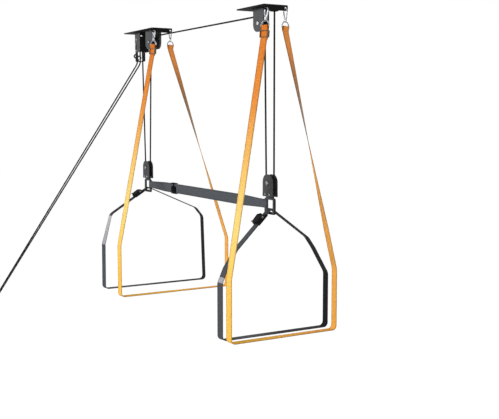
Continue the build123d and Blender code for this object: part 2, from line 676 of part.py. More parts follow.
def stopper_knot(x, y, low):
    """Barrel knot that stands on an eye."""
    height = KNOT_PITCH * (KNOT_TURNS - 1) + 2 * ROPE_R
    knot = rod_z(x, y, KNOT_RING_R, low + KNOT_CORE_UP, low + height)
    for turn in range(KNOT_TURNS):
        knot += Pos(x, y, low + ROPE_R + turn * KNOT_PITCH) * Torus(KNOT_RING_R, ROPE_R)
    return knot


def cross_run():
    first = (END_SHEAVE_X, ROPE_TOP)
    second = (MAIN_SHEAVE_X, ROPE_TOP)
    edges = [wheel_arc(END_SHEAVE, SHEAVE_PITCH_R, END_FALL[0], first, OVER_DEG),
             Edge.make_line(in_plane(first), in_plane(second)),
             wheel_arc(MAIN_SHEAVE, SHEAVE_PITCH_R, second, MAIN_FALL[0], 180.0 - OVER_DEG)]
    return tube(edges, ROPE_R, "rope cross run")


def dead_end():
    seat = -PLATE_T - ANCHOR_DEPTH + ANCHOR_T + RUN
    return stopper_knot(DEAD_END_X, 0, seat) + rod_z(DEAD_END_X, 0, ROPE_R, ANCHOR[1], seat + ROPE_R)


def brake_run():
    left = (PULL_X, -BRAKE_ROLLER_DROP)
    edges = [wheel_arc(BRAKE, BRAKE_PITCH_R, BRAKE_FALL[0], left, 90),
             Edge.make_line(in_plane(left), Vector(PULL_X, 0, GUIDE_LOW - RUN))]
    return tube(edges, ROPE_R, "rope through the brake")


def return_end():
    seat = GUIDE_LOW + GUIDE_T + RUN
    knot = stopper_knot(RETURN_X, RETURN_EYE_Y, seat)
    return knot + rod_z(RETURN_X, RETURN_EYE_Y, ROPE_R, GUIDE_LOW - RUN, seat + ROPE_R)


def fall(ends, name):
    first = in_plane(ends[0])
    last = in_plane(ends[1])
    last = last + (first - last).normalized() * RUN
    return tube([Edge.make_line(first, last)], ROPE_R, name)


def block_wrap(center, left, right, name):
    return tube([wheel_arc(center, SHEAVE_PITCH_R, left[1], right[1], 270)], ROPE_R, name)


def bent_leg(start, end, name):
    """A leg that turns round the lip of its guide eye and runs straight to the hand knot."""
    bend = start + Vector(0, 0, -PULL_BEND_DROP)
    way = (end - bend).normalized()
    turn = math.acos(-way.Z)
    back = PULL_BEND_R * math.tan(turn / 2)
    first = bend + Vector(0, 0, back)
    second = bend + way * back
    chord = (first + second) * 0.5
    inner = (chord - bend).normalized()
    mid = bend + inner * (PULL_BEND_R / math.cos(turn / 2) - PULL_BEND_R)
    arc = Edge.make_three_point_arc(first, mid, second)
    edges = [Edge.make_line(start, first), arc, Edge.make_line(second, end)]
    print(name, "bend radius", PULL_BEND_R, "turn", round(math.degrees(turn), 1))
    return tube(edges, ROPE_R, name)


def pull_rope():
    hand = Vector(*PULL_END)
    start = Vector(PULL_X, 0, GUIDE_LOW - RUN)
    back = Vector(RETURN_X, RETURN_EYE_Y, GUIDE_LOW - RUN)
    way = (hand - start).normalized()
    side = (back - start - way * (back - start).dot(way)).normalized()
    beside = side * HAND_LEG_SIDE
    rope = bent_leg(start, hand - beside, "pull leg") + bent_leg(back, hand + beside, "return leg")
    knot = Cylinder(HAND_KNOT_R, HAND_KNOT_L)
    knot = fillet(knot.edges().filter_by(GeomType.CIRCLE), HAND_KNOT_ROUND)
    rope += Plane(origin=hand, z_dir=way) * knot
    middle = hand + way * HAND_LOOP_L
    lean = math.asin((HAND_LOOP_R - HAND_LEG_SIDE) / HAND_LOOP_L)
    arms = []
    for sign in (-1, 1):
        out = side * (sign * HAND_LOOP_R * math.cos(lean)) - way * (HAND_LOOP_R * math.sin(lean))
        arms.append((hand + beside * sign, middle + out))
    edges = [Edge.make_line(arms[0][0], arms[0][1]),
             Edge.make_three_point_arc(arms[0][1], middle + way * HAND_LOOP_R, arms[1][1]),
             Edge.make_line(arms[1][1], arms[1][0])]
    return rope + tube(edges, ROPE_R, "hand loop")


# Slings
def circle_tangent(center, radius, point, sign):
    dy = point[0] - center[0]
    dz = point[1] - center[1]
    angle = math.atan2(dz, dy) + sign * math.acos(radius / math.hypot(dy, dz))
    return (center[0] + radius * math.cos(angle), center[1] + radius * math.sin(angle))


def crossing(a, b, c, d):
    u = (b[0] - a[0], b[1] - a[1])
    v = (d[0] - c[0], d[1] - c[1])
    t = ((c[0] - a[0]) * v[1] - (c[1] - a[1]) * v[0]) / (u[0] * v[1] - u[1] * v[0])
    return (a[0] + t * u[0], a[1] + t * u[1])


SLING_BAR = (0.0, -BLOCK_DROP + WINDOW_LOW - BAR_ROUND)
SLING_TOP_R = math.hypot(HANGER_T / 2, BAR_ROUND) + SOFT


def sling_route(points):
    return [(y, z - BLOCK_DROP) for y, z in points]


def sling(x, near, far):
    """Closed loop of webbing over the hanger's bar, drawn by its inner face."""
    near = sling_route(near)
    far = sling_route(far)
    near_touch = circle_tangent(SLING_BAR, SLING_TOP_R, near[0], -1)
    far_touch = circle_tangent(SLING_BAR, SLING_TOP_R, far[0], 1)
    apex = crossing(near[0], near_touch, far[0], far_touch)
    route = [apex] + near + far[::-1]
    radii = [SLING_TOP_R] + [SLING_SHOULDER_R] * (len(near) - 1) + [SLING_CORNER_R] * 2
    radii += [SLING_SHOULDER_R] * (len(far) - 1)
    inner = make_face(FilletPolyline(*route, radius=radii, close=True))
    band = offset(inner, amount=WEB_T) - inner
    return slab_yz(band, x - WEB_W / 2, x + WEB_W / 2)


def buckle_plane(x, near):
    """Plane on the near branch: X across, Y up along the webbing, Z away from the load."""
    first = sling_route(near)[0]
    touch = circle_tangent(SLING_BAR, SLING_TOP_R, first, -1)
    length = math.hypot(first[0] - touch[0], first[1] - touch[1])
    down = ((first[0] - touch[0]) / length, (first[1] - touch[1]) / length)
    spot = Vector(x, touch[0] + down[0] * BUCKLE_ALONG, touch[1] + down[1] * BUCKLE_ALONG)
    return Plane(origin=spot, x_dir=(1, 0, 0), z_dir=(0, down[1], -down[0]))


BUCKLE_IN = WEB_W / 2 + BUCKLE_SIDE_GAP


def buckle_frame():
    low = -SOFT - BUCKLE_T
    half = BUCKLE_L / 2
    base = slab_xy(rect(-BUCKLE_IN - BUCKLE_T, BUCKLE_IN + BUCKLE_T, -half, half), low, -SOFT)
    side = polygon([(-half, low), (half, low), (half, BUCKLE_WALL_LOW),
                    (BUCKLE_PIN_UP + BUCKLE_EAR, BUCKLE_WALL_H), (BUCKLE_PIN_UP - BUCKLE_EAR, BUCKLE_WALL_H),
                    (-half, BUCKLE_WALL_TAIL)])
    side = rounded(side, BUCKLE_WALL_R, lambda y, z: z > low + TOL)
    for sign in (-1, 1):
        ends = sorted((sign * BUCKLE_IN, sign * (BUCKLE_IN + BUCKLE_T)))
        base += slab_yz(side, ends[0], ends[1])
    bar = rect(-half, -half + BUCKLE_BAR_W, WEB_T + SOFT, WEB_T + SOFT + BUCKLE_BAR_T)
    base += slab_yz(bar, -BUCKLE_IN - LAP, BUCKLE_IN + LAP)
    return base - rod_x(BUCKLE_PIN_UP, BUCKLE_PIN_OUT, BUCKLE_PIN_R, -2 * BUCKLE_IN, 2 * BUCKLE_IN)


def buckle_pin():
    reach = BUCKLE_IN + BUCKLE_T
    pin = rod_x(BUCKLE_PIN_UP, BUCKLE_PIN_OUT, BUCKLE_PIN_R, -reach, reach)
    for sign in (-1, 1):
        ends = sorted((sign * reach, sign * (reach + BUCKLE_PIN_HEAD_H)))
        pin += rod_x(BUCKLE_PIN_UP, BUCKLE_PIN_OUT, BUCKLE_PIN_HEAD_R, ends[0], ends[1])
    return pin


def buckle_lever():
    y = BUCKLE_PIN_UP
    z = BUCKLE_PIN_OUT
    nose_z = WEB_T + SOFT + LEVER_NOSE_R
    face = Pos(y, z) * Circle(LEVER_HUB_R)
    nose_y = y - LEVER_NOSE_BACK
    face += Pos(nose_y, nose_z) * Circle(LEVER_NOSE_R)
    face += polygon([(y - LEVER_HUB_R, z), (nose_y - LEVER_NOSE_R, nose_z), (nose_y + LEVER_NOSE_R, nose_z),
                     (y + LEVER_HUB_R, z)])
    face += polygon([(y + along, z + out) for along, out in LEVER_TAB])
    half = WEB_W / 2 + BUCKLE_SIDE_GAP - RUN
    return slab_yz(face, -half, half) - rod_x(y, z, BUCKLE_PIN_R + FIT, -2 * half, 2 * half)


# Spacer strap between the hangers, and its slider
def spacer_strap():
    left = MAIN_BLOCK_X + (HANGER_W - HANGER_LEG_W) / 2
    right = END_BLOCK_X - (HANGER_W - HANGER_LEG_W) / 2
    leg_x = HANGER_LEG_W / 2 + SOFT
    leg_y = HANGER_T / 2 + SOFT
    face = rect(left, right, -WEB_T / 2, WEB_T / 2)
    face += rect(left, SLIDER_X, -WEB_T, WEB_T) + rect(right - leg_x - SEW_L, right, -WEB_T, WEB_T)
    holes = []
    for x, sign in ((left, 1), (right, -1)):
        hole = rect(x - leg_x, x + leg_x, -leg_y, leg_y)
        holes.append(hole)
        face += offset(hole, amount=WEB_T)
        out = leg_y + WEB_T
        tip = x + sign * (leg_x + SPACER_TAPER)
        face += polygon([(x, -out), (tip, -WEB_T), (tip, WEB_T), (x, out)])
    for hole in holes:
        face -= hole
    wide = SPACER_W / 2
    end = SPACER_END_W / 2
    out = leg_x + WEB_T + PAST
    edge = [(left - out, end), (left + out, end), (left + SPACER_NARROW_L, wide),
            (right - SPACER_NARROW_L, wide), (right - out, end), (right + out, end)]
    edge = [(x, SPACER_STRAP_Z + z) for x, z in edge] + [(x, SPACER_STRAP_Z - z) for x, z in edge[::-1]]
    strap = slab_xy(face, SPACER_STRAP_Z - wide, SPACER_STRAP_Z + wide)
    return strap & slab_xz(polygon(edge), -leg_y - 2 * WEB_T, leg_y + 2 * WEB_T)


def spacer_slider():
    half = SLIDER_L / 2
    in_z = SPACER_W / 2 + SOFT
    face = WEB_T + SOFT
    out = face + SLIDER_BAR_T
    rails = rect(-half, half, -in_z - SLIDER_RAIL, in_z + SLIDER_RAIL)
    rails -= rect(-half - PAST, half + PAST, -in_z, in_z)
    slider = slab_xz(rails, -out, out)
    for a in (-half, half - SLIDER_BAR):
        slider += slab_xz(rect(a, a + SLIDER_BAR, -in_z - PAST, in_z + PAST), face, out)
    slider += slab_xz(rect(-SLIDER_BAR / 2, SLIDER_BAR / 2, -in_z - PAST, in_z + PAST), -out, -face)
    return Pos(SLIDER_X, 0, SPACER_STRAP_Z) * slider


# Safety straps
def hook_place(flange, side):
    """Frame of one hook, its top in the flange hole."""
    lean = -NEAR_HOOK_DEG if side < 0 else 0.0
    return Pos(flange - PLATE_T / 2, side * HOOK_HOLE_Y, HOOK_TOP_Z) * Rot(lean, 0, 0)


def ring_place(flange, side):
    """Frame of one ring, turned on its swivel, with its bar along Y."""
    turn = -NEAR_RING_DEG if side < 0 else FAR_RING_DEG
    return hook_place(flange, side) * Rot(0, 0, turn)


def gate_place():
    """Frame on the hook's open side: Z runs up the side from the lower bend."""
    x = HOOK_LOW_R * math.cos(HOOK_TAPER)
    z = -HOOK_TOP_R - HOOK_SPAN - HOOK_LOW_R * math.sin(HOOK_TAPER)
    return Pos(x, 0, z) * Rot(0, math.degrees(HOOK_TAPER), 0)


def hook_body():
    """Pear of wire, open for the gate, with a boss for the ring's swivel post."""
    side = gate_place()
    nose = (side * Pos(0, 0, GATE_SIDE - GATE_NOSE)).position
    high = (side * Pos(0, 0, GATE_SIDE)).position
    low = (side * Pos(0, 0, 0)).position
    foot = (side * Pos(0, 0, GATE_FOOT)).position
    back_high = Vector(-high.X, 0, high.Z)
    back_low = Vector(-low.X, 0, low.Z)
    path = Wire([Edge.make_line(nose, high), Edge.make_three_point_arc(high, Vector(0, 0, 0), back_high),
                 Edge.make_line(back_high, back_low),
                 Edge.make_three_point_arc(back_low, Vector(0, 0, HOOK_LOW), low), Edge.make_line(low, foot)])
    body = sweep(Plane(origin=path @ 0, z_dir=path % 0) * Circle(HOOK_WIRE_R), path=path)
    tongue = rect(-GATE_TONGUE_HALF, GATE_TONGUE_HALF, GATE_FOOT - PAST, GATE_FOOT + GATE_TONGUE)
    tongue = slab_xz(fillet(tongue.vertices(), GATE_TONGUE_R), -GATE_TONGUE_T / 2, GATE_TONGUE_T / 2)
    body += side * tongue
    body -= side * rod_y(0, GATE_PIN_UP, GATE_PIN_R, -GATE_R, GATE_R)
    body += rod_z(0, 0, SWIVEL_R, SWIVEL_TOP - SWIVEL_H, SWIVEL_TOP)
    body -= rod_z(0, 0, POST_R + FIT, SWIVEL_TOP - 2 * SWIVEL_H, SWIVEL_TOP + PAST)
    return body - rod_z(0, 0, POST_HEAD_R + RUN, SWIVEL_TOP, SWIVEL_TOP + HOOK_LOW_R)


def hook_gate():
    top = GATE_SIDE - GATE_NOSE - RUN
    gate = rod_z(0, 0, GATE_R, GATE_PIN_UP, top) + Pos(0, 0, GATE_PIN_UP) * Sphere(GATE_R)
    slot = rect(-3 * GATE_R, 3 * GATE_R, GATE_PIN_UP - 2 * GATE_R,
                GATE_PIN_UP + math.hypot(GATE_TONGUE / 2, GATE_TONGUE_HALF) + RUN)
    gate -= slab_xz(slot, -GATE_TONGUE_T / 2 - RUN, GATE_TONGUE_T / 2 + RUN)
    gate -= rod_y(0, GATE_PIN_UP, GATE_PIN_R + FIT, -2 * GATE_R, 2 * GATE_R)
    return gate_place() * gate


def gate_pin():
    return gate_place() * rod_y(0, GATE_PIN_UP, GATE_PIN_R, -GATE_R, GATE_R)


def strap_ring():
    half = RING_HALF_W
    side = RING_BAR + RING_SIDE_H
    top = RING_TOP_HALF_W
    spots = [(0, -half, RING_BAR), (0, half, RING_BAR), (0, half, side), (0, top, RING_TOP),
             (0, -top, RING_TOP), (0, -half, side)]
    radii = [RING_CORNER_R] * 2 + [RING_SIDE_R] + [RING_BOW_R] * 2 + [RING_SIDE_R]
    path = FilletPolyline(*spots, radius=radii, close=True).wire()
    ring = sweep(Plane(origin=path @ 0, z_dir=path % 0) * Circle(RING_WIRE_R), path=path)
    ring += rod_z(0, 0, POST_R, RING_TOP, SWIVEL_TOP + POST_HEAD_H)
    return ring + rod_z(0, 0, POST_HEAD_R, SWIVEL_TOP, SWIVEL_TOP + POST_HEAD_H)


def strap_eye(tail):
    face = Pos(0, RING_BAR) * Circle(EYE_R + WEB_T)
    face += rect(-TAIL_HALF, TAIL_HALF, RING_BAR - tail, RING_BAR)
    face -= Pos(0, RING_BAR) * Circle(EYE_R)
    return slab_xz(face, -EYE_HALF_W, EYE_HALF_W)


def strap_adjuster():
    half = ADJUSTER_H / 2
    in_y = EYE_HALF_W + SOFT
    bar_x = TAIL_HALF + SOFT + ADJUSTER_BAR_R
    reach = bar_x + ADJUSTER_BAR_R
    middle = RING_BAR - ADJUSTER_DROP
    frame = None
    for side in (-1, 1):
        ends = sorted((side * in_y, side * (in_y + ADJUSTER_RAIL)))
        rail = rect(-reach, reach, middle - half, middle + half)
        rail = fillet(rail.vertices(), ADJUSTER_ROUND)
        rail = slab_xz(rail, ends[0], ends[1])
        frame = rail if frame is None else frame + rail
    for z, sign in ((middle + half - ADJUSTER_BAR_R, 1), (middle, -1), (middle - half + ADJUSTER_BAR_R, 1)):
        frame += rod_y(sign * bar_x, z, ADJUSTER_BAR_R, -in_y - PAST, in_y + PAST)
    return frame


def ribbon(stations):
    """Webbing through stations of centre, width direction and face normal."""
    wires = []
    for center, across, normal in stations:
        a = across * (WEB_W / 2)
        n = normal * (WEB_T / 2)
        corners = [center - a - n, center + a - n, center + a + n, center - a + n]
        wires.append(Wire.make_polygon(corners, close=True))
    return Solid.make_loft(wires, ruled=True)


def twist_stations(start, sign, end, turn, part):
    """Straight run that turns the webbing from its ring's bar to the load's edge."""
    out = []
    way = (end - start).normalized()
    level = (Vector(0, sign, 0) - way * (sign * way.Y)).normalized()
    for k in range(TWIST_STEPS + 1):
        s = k / TWIST_STEPS
        done = min(1.0, max(0.0, (s - part[0]) / (part[1] - part[0])))
        angle = math.radians(turn + (90.0 - turn) * done)
        across = level * math.cos(angle) + Vector(1, 0, 0) * math.sin(angle)
        across = (across - way * across.dot(way)).normalized()
        out.append((start + (end - start) * s, across, way.cross(across).normalized()))
    return out


def corner_stations(x, y, first):
    """Quarter turn under the load, from the given angle."""
    out = []
    across = Vector(1, 0, 0)
    for step in range(CORNER_STEPS + 1):
        a = math.radians(first + 90.0 * step / CORNER_STEPS)
        spot = Vector(x, y + STRAP_CORNER_R * math.cos(a), STRAP_LOW + STRAP_CORNER_R * (1 + math.sin(a)))
        way = Vector(0, -math.sin(a), math.cos(a))
        out.append((spot, across, way.cross(across)))
    return out


def safety_strap(flange, out_x, near, far):
    """Webbing from one ring, under the load and up to the other ring, with a sewn eye at each end."""
    x = flange + out_x
    near_place = ring_place(flange, -1)
    far_place = ring_place(flange, 1)
    near_start = (near_place * Pos(0, 0, RING_BAR - EYE_TAIL_NEAR + EYE_LAP)).position
    far_start = (far_place * Pos(0, 0, RING_BAR - EYE_TAIL_FAR + EYE_LAP)).position
    stations = twist_stations(near_start, 1, Vector(x, near, STRAP_SHOULDER), NEAR_RING_DEG, NEAR_TWIST)
    stations += corner_stations(x, near + STRAP_CORNER_R, 180.0)
    stations += corner_stations(x, far - STRAP_CORNER_R, 270.0)
    back = twist_stations(far_start, -1, Vector(x, far, STRAP_SHOULDER), FAR_RING_DEG, FAR_TWIST)
    stations += [(center, across, normal * -1) for center, across, normal in back[::-1]]
    return near_place * strap_eye(EYE_TAIL_NEAR) + ribbon(stations) + far_place * strap_eye(EYE_TAIL_FAR)


def build():
    main_tip = MAIN_FLANGE_X - MAIN_PLATE_L
    main_rows = [main_tip + MAIN_SCREW_INSET, MAIN_FLANGE_X - MAIN_SCREW_INSET]
    write(ceiling_plate(main_tip, MAIN_FLANGE_X, main_rows), "main_plate")
    end_tip = END_FLANGE_X - END_PLATE_L
    end_rows = [end_tip + END_SCREW_TIP_INSET, END_FLANGE_X - END_SCREW_FLANGE_INSET]
    write(ceiling_plate(end_tip, END_FLANGE_X, end_rows), "end_plate")
    write(sheave_yoke(MAIN_SHEAVE_X, MAIN_YOKE_GAP), "main_yoke")
    write(sheave_yoke(END_SHEAVE_X, SHEAVE_GAP), "end_yoke")
    axles = [yoke_axle(MAIN_SHEAVE_X, MAIN_YOKE_GAP), yoke_axle(END_SHEAVE_X, SHEAVE_GAP)]
    write(group(axles), "yoke_axles")
    write(group(axle_spacers(MAIN_SHEAVE_X, MAIN_YOKE_GAP)), "axle_spacers")
    write(rope_sheave(*MAIN_SHEAVE), "main_sheave")
    write(rope_sheave(*END_SHEAVE), "end_sheave")
    write(rope_anchor(), "rope_anchor")
    write(brake_housing(), "brake_housing")
    write(brake_roller(), "brake_roller")
    write(brake_roller_pin(), "brake_roller_pin")
    write(lock_roller(), "lock_roller")
    write(group(lock_clips()), "lock_clips")
    write(brake_anvil(), "brake_anvil")
    write(rope_guide(), "rope_guide")
    write(group(guide_rivets()), "guide_rivets")
    for name, x, spot in (("main", MAIN_BLOCK_X, MAIN_BLOCK), ("end", END_BLOCK_X, END_BLOCK)):
        write(block_cheek(x, -1), name + "_block_cheek_near")
        write(block_cheek(x, 1), name + "_block_cheek_far")
        write(rope_sheave(*spot), name + "_block_sheave")
        write(block_axle(x), name + "_block_axle")
        write(hanger(x), name + "_hanger")
        write(group(hanger_rivets(x)), name + "_hanger_rivets")
        write(group(hanger_spacers(x)), name + "_hanger_spacers")
    write(group([cross_run(), dead_end(), brake_run(), return_end()]), "hoist_rope")
    write(fall(DEAD_FALL, "dead-end fall"), "rope_fall_dead")
    write(fall(END_FALL, "end sheave fall"), "rope_fall_end")
    write(fall(MAIN_FALL, "main sheave fall"), "rope_fall_main")
    write(fall(BRAKE_FALL, "brake fall"), "rope_fall_brake")
    write(block_wrap(END_BLOCK, END_FALL, DEAD_FALL, "end block wrap"), "rope_wrap_end")
    write(block_wrap(MAIN_BLOCK, BRAKE_FALL, MAIN_FALL, "main block wrap"), "rope_wrap_main")
    write(pull_rope(), "pull_rope")
    slings = (("main", MAIN_BLOCK_X - SLING_SHIFT, MAIN_SLING_NEAR, MAIN_SLING_FAR),
              ("end", END_BLOCK_X + SLING_SHIFT, END_SLING_NEAR, END_SLING_FAR))
    for name, x, near, far in slings:
        write(sling(x, near, far), name + "_sling")
        place = buckle_plane(x, near)
        write(place * buckle_frame(), name + "_buckle_frame")
        write(place * buckle_pin(), name + "_buckle_pin")
        write(place * buckle_lever(), name + "_buckle_lever")
        print(name, "lever pivot", place.from_local_coords(Vector(0, BUCKLE_PIN_UP, BUCKLE_PIN_OUT)))
    write(spacer_strap(), "spacer_strap")
    write(spacer_slider(), "spacer_slider")
    hooks = []
    pins = []
    rings = []
    adjusters = []
    ends = (("main", MAIN_FLANGE_X, MAIN_STRAP_OUT, -MAIN_STRAP_NEAR, MAIN_STRAP_FAR),
            ("end", END_FLANGE_X, END_STRAP_OUT, -END_STRAP_NEAR, END_STRAP_FAR))
    for name, flange, out_x, near, far in ends:
        write(safety_strap(flange, out_x, near, far), name + "_safety_strap")
        for side, word in ((-1, "near"), (1, "far")):
            place = hook_place(flange, side)
            hooks.append(place * hook_body())
            pins.append(place * gate_pin())
            rings.append(ring_place(flange, side) * strap_ring())
            write(place * hook_gate(), name + "_hook_gate_" + word)
            pivot = (place * gate_place() * Pos(0, 0, GATE_PIN_UP)).position
            axis = (place * Pos(0, 1, 0)).position - (place * Pos(0, 0, 0)).position
            print(name, word, "gate pivot", pivot, "axis", axis)
        adjusters.append(ring_place(flange, -1) * strap_adjuster())
    write(group(hooks), "snap_hooks")
    write(group(pins), "gate_pins")
    write(group(rings), "strap_rings")
    write(group(adjusters), "strap_adjusters")
    print("wheels", MAIN_SHEAVE, END_SHEAVE, BRAKE, MAIN_BLOCK, END_BLOCK, "lock", LOCK_X, -LOCK_DROP)
    print("falls", DEAD_FALL, END_FALL, MAIN_FALL, BRAKE_FALL)


build()
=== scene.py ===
# %% [markdown]
# # A ceiling storage hoist
# Two folded plates screw to a ceiling. One rope runs over their sheaves to two moving blocks, and each
# block carries a webbing sling. A roller brake holds the rope, and two orange safety straps hang from
# snap hooks as a back-up. The steel comes from the CAD frame. This lesson adds what is soft: rope,
# webbing and thread, and then a finish for every surface.

# %% Load the frame
import json
import math
from functools import partial

import bpy
import numpy as np
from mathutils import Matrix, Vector


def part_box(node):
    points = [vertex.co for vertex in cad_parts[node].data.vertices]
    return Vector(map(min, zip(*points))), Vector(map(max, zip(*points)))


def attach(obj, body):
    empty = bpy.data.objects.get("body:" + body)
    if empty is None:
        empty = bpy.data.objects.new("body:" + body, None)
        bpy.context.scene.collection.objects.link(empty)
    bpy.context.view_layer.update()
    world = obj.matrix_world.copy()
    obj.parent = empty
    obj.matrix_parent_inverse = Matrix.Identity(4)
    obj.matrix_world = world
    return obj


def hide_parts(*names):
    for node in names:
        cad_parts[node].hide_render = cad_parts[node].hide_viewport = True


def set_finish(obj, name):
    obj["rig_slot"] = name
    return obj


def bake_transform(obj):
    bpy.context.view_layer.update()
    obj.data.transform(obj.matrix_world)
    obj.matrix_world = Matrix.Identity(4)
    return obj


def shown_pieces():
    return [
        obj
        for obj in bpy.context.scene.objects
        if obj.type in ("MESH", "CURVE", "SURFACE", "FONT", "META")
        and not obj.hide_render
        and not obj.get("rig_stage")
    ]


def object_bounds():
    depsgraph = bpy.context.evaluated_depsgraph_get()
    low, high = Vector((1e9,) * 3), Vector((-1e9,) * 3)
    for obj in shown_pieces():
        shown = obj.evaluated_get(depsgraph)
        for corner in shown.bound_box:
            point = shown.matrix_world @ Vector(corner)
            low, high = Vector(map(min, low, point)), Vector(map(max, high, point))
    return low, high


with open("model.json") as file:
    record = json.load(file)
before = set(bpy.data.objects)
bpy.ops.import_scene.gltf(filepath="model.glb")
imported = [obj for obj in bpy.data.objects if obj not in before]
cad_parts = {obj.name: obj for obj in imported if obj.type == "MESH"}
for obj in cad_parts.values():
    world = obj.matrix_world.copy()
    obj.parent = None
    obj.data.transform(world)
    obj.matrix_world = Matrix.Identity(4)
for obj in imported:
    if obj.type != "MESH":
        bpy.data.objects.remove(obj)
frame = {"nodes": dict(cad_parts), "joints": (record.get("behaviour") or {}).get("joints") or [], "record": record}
nodes = frame["nodes"]
joints = {joint["name"]: joint for joint in frame["joints"]}
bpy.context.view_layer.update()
# Names of the brake end and of the far end
ENDS = ("main", "end")

# %% [markdown]
# ## The camera
# The view is a perspective one from beyond the far plate, a little below the ceiling. Its place was found
# by fitting the plates, the falls of rope and the blocks, so it is written as a place, two angles and a
# focal length in pixels of the picture.

# %% Camera
PICTURE_W = 499
SENSOR_W = 36.0
FOCAL_PIXELS = 888.13
EYE = Vector((2.9418, -1.2664, -0.2964))
YAW = 2.62203
DIP = 0.105569


def aimed(name, data, place, look):
    """Camera or lamp at a place, looking along a direction."""
    holder = bpy.data.objects.new(name, data)
    holder.location = place
    holder.rotation_euler = look.to_track_quat("-Z", "Y").to_euler()
    bpy.context.scene.collection.objects.link(holder)
    return holder


camera_data = bpy.data.cameras.new("photo_camera")
camera_data.sensor_width = SENSOR_W
camera_data.lens = FOCAL_PIXELS * SENSOR_W / PICTURE_W
look = Vector((math.cos(DIP) * math.cos(YAW), math.cos(DIP) * math.sin(YAW), -math.sin(DIP)))
bpy.context.scene.camera = aimed("photo_camera", camera_data, EYE, look)
print("lens", round(camera_data.lens, 2), "mm")

# %% [markdown]
# ## Surfaces from arrays
# Rope and webbing are both one profile carried along a path. A rope's profile is a circle, a strap's is a
# flat band with soft edges. Both are worked out as one array of points, rows along the path and columns
# round the profile, and turned into a mesh in one go. The UV map keeps the place round the profile and
# the length along the path in metres, so that a weave or a braid can follow the piece wherever it turns.

# %% A mesh from a grid of points
# Corners of a face, as steps to the next row and to the next column
FACE_CORNERS = ((0, 0), (0, 1), (1, 1), (1, 0))


def unit(vectors):
    """Each vector divided by its own length."""
    return vectors / np.linalg.norm(vectors, axis=-1, keepdims=True)


def new_piece(name, points, faces):
    """Object in the scene whose mesh has the given points and faces."""
    mesh = bpy.data.meshes.new(name)
    mesh.from_pydata(points.reshape(-1, 3).tolist(), [], faces)
    piece = bpy.data.objects.new(name, mesh)
    bpy.context.scene.collection.objects.link(piece)
    return piece


def grid_piece(name, points, around, along, ring=False, fade=None):
    """Mesh of rows of points: columns close on themselves, rows only in a ring, else the ends are capped.
    around holds one more value than there are columns, along one per row, and one more in a ring."""
    rows, columns = points.shape[:2]
    row = np.arange(rows if ring else rows - 1)[:, None]
    column = np.arange(columns)[None, :]
    quads = []
    uv = []
    for down, beside in FACE_CORNERS:
        quads.append((row + down) % rows * columns + (column + beside) % columns)
        uv.append(np.stack(np.broadcast_arrays(around[column + beside], along[row + down]), axis=-1))
    faces = np.stack(quads, axis=-1).reshape(-1, 4).tolist()
    uv = np.stack(uv, axis=2).reshape(-1, 2)
    smooth = len(faces)
    if not ring:
        faces.append(list(range(columns))[::-1])
        faces.append(list(range((rows - 1) * columns, rows * columns)))
        cap = np.stack([around[:-1], np.full(columns, along[0])], -1)
        uv = np.concatenate([uv, cap[::-1], cap])
    piece = new_piece(name, points, faces)
    piece.data.uv_layers.new(name="cloth").data.foreach_set("uv", uv.ravel())
    piece.data.polygons.foreach_set("use_smooth", np.arange(len(faces)) < smooth)
    if fade is not None:
        layer = piece.data.attributes.new("fade", "FLOAT", "POINT")
        layer.data.foreach_set("value", np.repeat(fade, columns).astype(np.float32))
    return piece


# %% [markdown]
# ## Paths
# A strap's path is a few straight runs with rounded corners, worked out in space. Each corner is a true
# arc, so the webbing keeps its bend where it goes round steel.


# %% Rounded runs and even spacing
def distances(path):
    """Length from the first point of a path to each of its points."""
    steps = np.linalg.norm(np.diff(path, axis=0), axis=1)
    return np.concatenate([[0.0], np.cumsum(steps)])


def evenly(path, spacing):
    """The same line with points at an even spacing along it."""
    length = distances(path)
    count = max(2, int(round(length[-1] / spacing)) + 1)
    places = np.linspace(0.0, length[-1], count)
    return np.stack([np.interp(places, length, path[:, k]) for k in range(3)], axis=1)


def corner_arc(before, corner, after, radius, spacing):
    """Arc that leaves one run and joins the next: centre on the bisector, tangent to both."""
    a = unit(before - corner)
    b = unit(after - corner)
    half = math.acos(np.clip(a @ b, -1.0, 1.0)) / 2
    centre = corner + unit(a + b) * radius / math.sin(half)
    first = corner + a * radius / math.tan(half) - centre
    last = corner + b * radius / math.tan(half) - centre
    sweep = math.pi - 2 * half
    t = np.linspace(0.0, 1.0, max(5, int(radius * sweep / spacing) + 2))[:, None]
    return centre + (np.sin((1 - t) * sweep) * first + np.sin(t * sweep) * last) / math.sin(sweep)


def rounded_runs(corners, radii, spacing):
    """Straight runs through the corners, each inner corner rounded by its own radius."""
    corners = np.asarray(corners, float)
    pieces = [corners[:1]]
    for before, corner, after, radius in zip(corners, corners[1:], corners[2:], radii):
        pieces.append(corner_arc(before, corner, after, radius, spacing))
    pieces.append(corners[-1:])
    return evenly(np.concatenate(pieces), spacing)


# %% [markdown]
# ## The rope
# The rope is a braided cord, 5 mm thick. Its pull end is a free cord: it leaves the guide under the
# brake, runs down to a hand loop and comes back to an eye beside the guide. A smooth spline through a few
# points gives that line. The rest of the rope is held by the wheels, so its path is arcs on the sheaves
# and straight falls.

# %% A tube along a path
ROPE_R = 0.0025
ROPE_SIDES = 20
ROPE_STEP = 0.003


def run_of(path, ring=False):
    """Direction of a path at each of its points."""
    if ring:
        return unit(np.roll(path, -1, axis=0) - np.roll(path, 1, axis=0))
    return unit(np.gradient(path, axis=0))


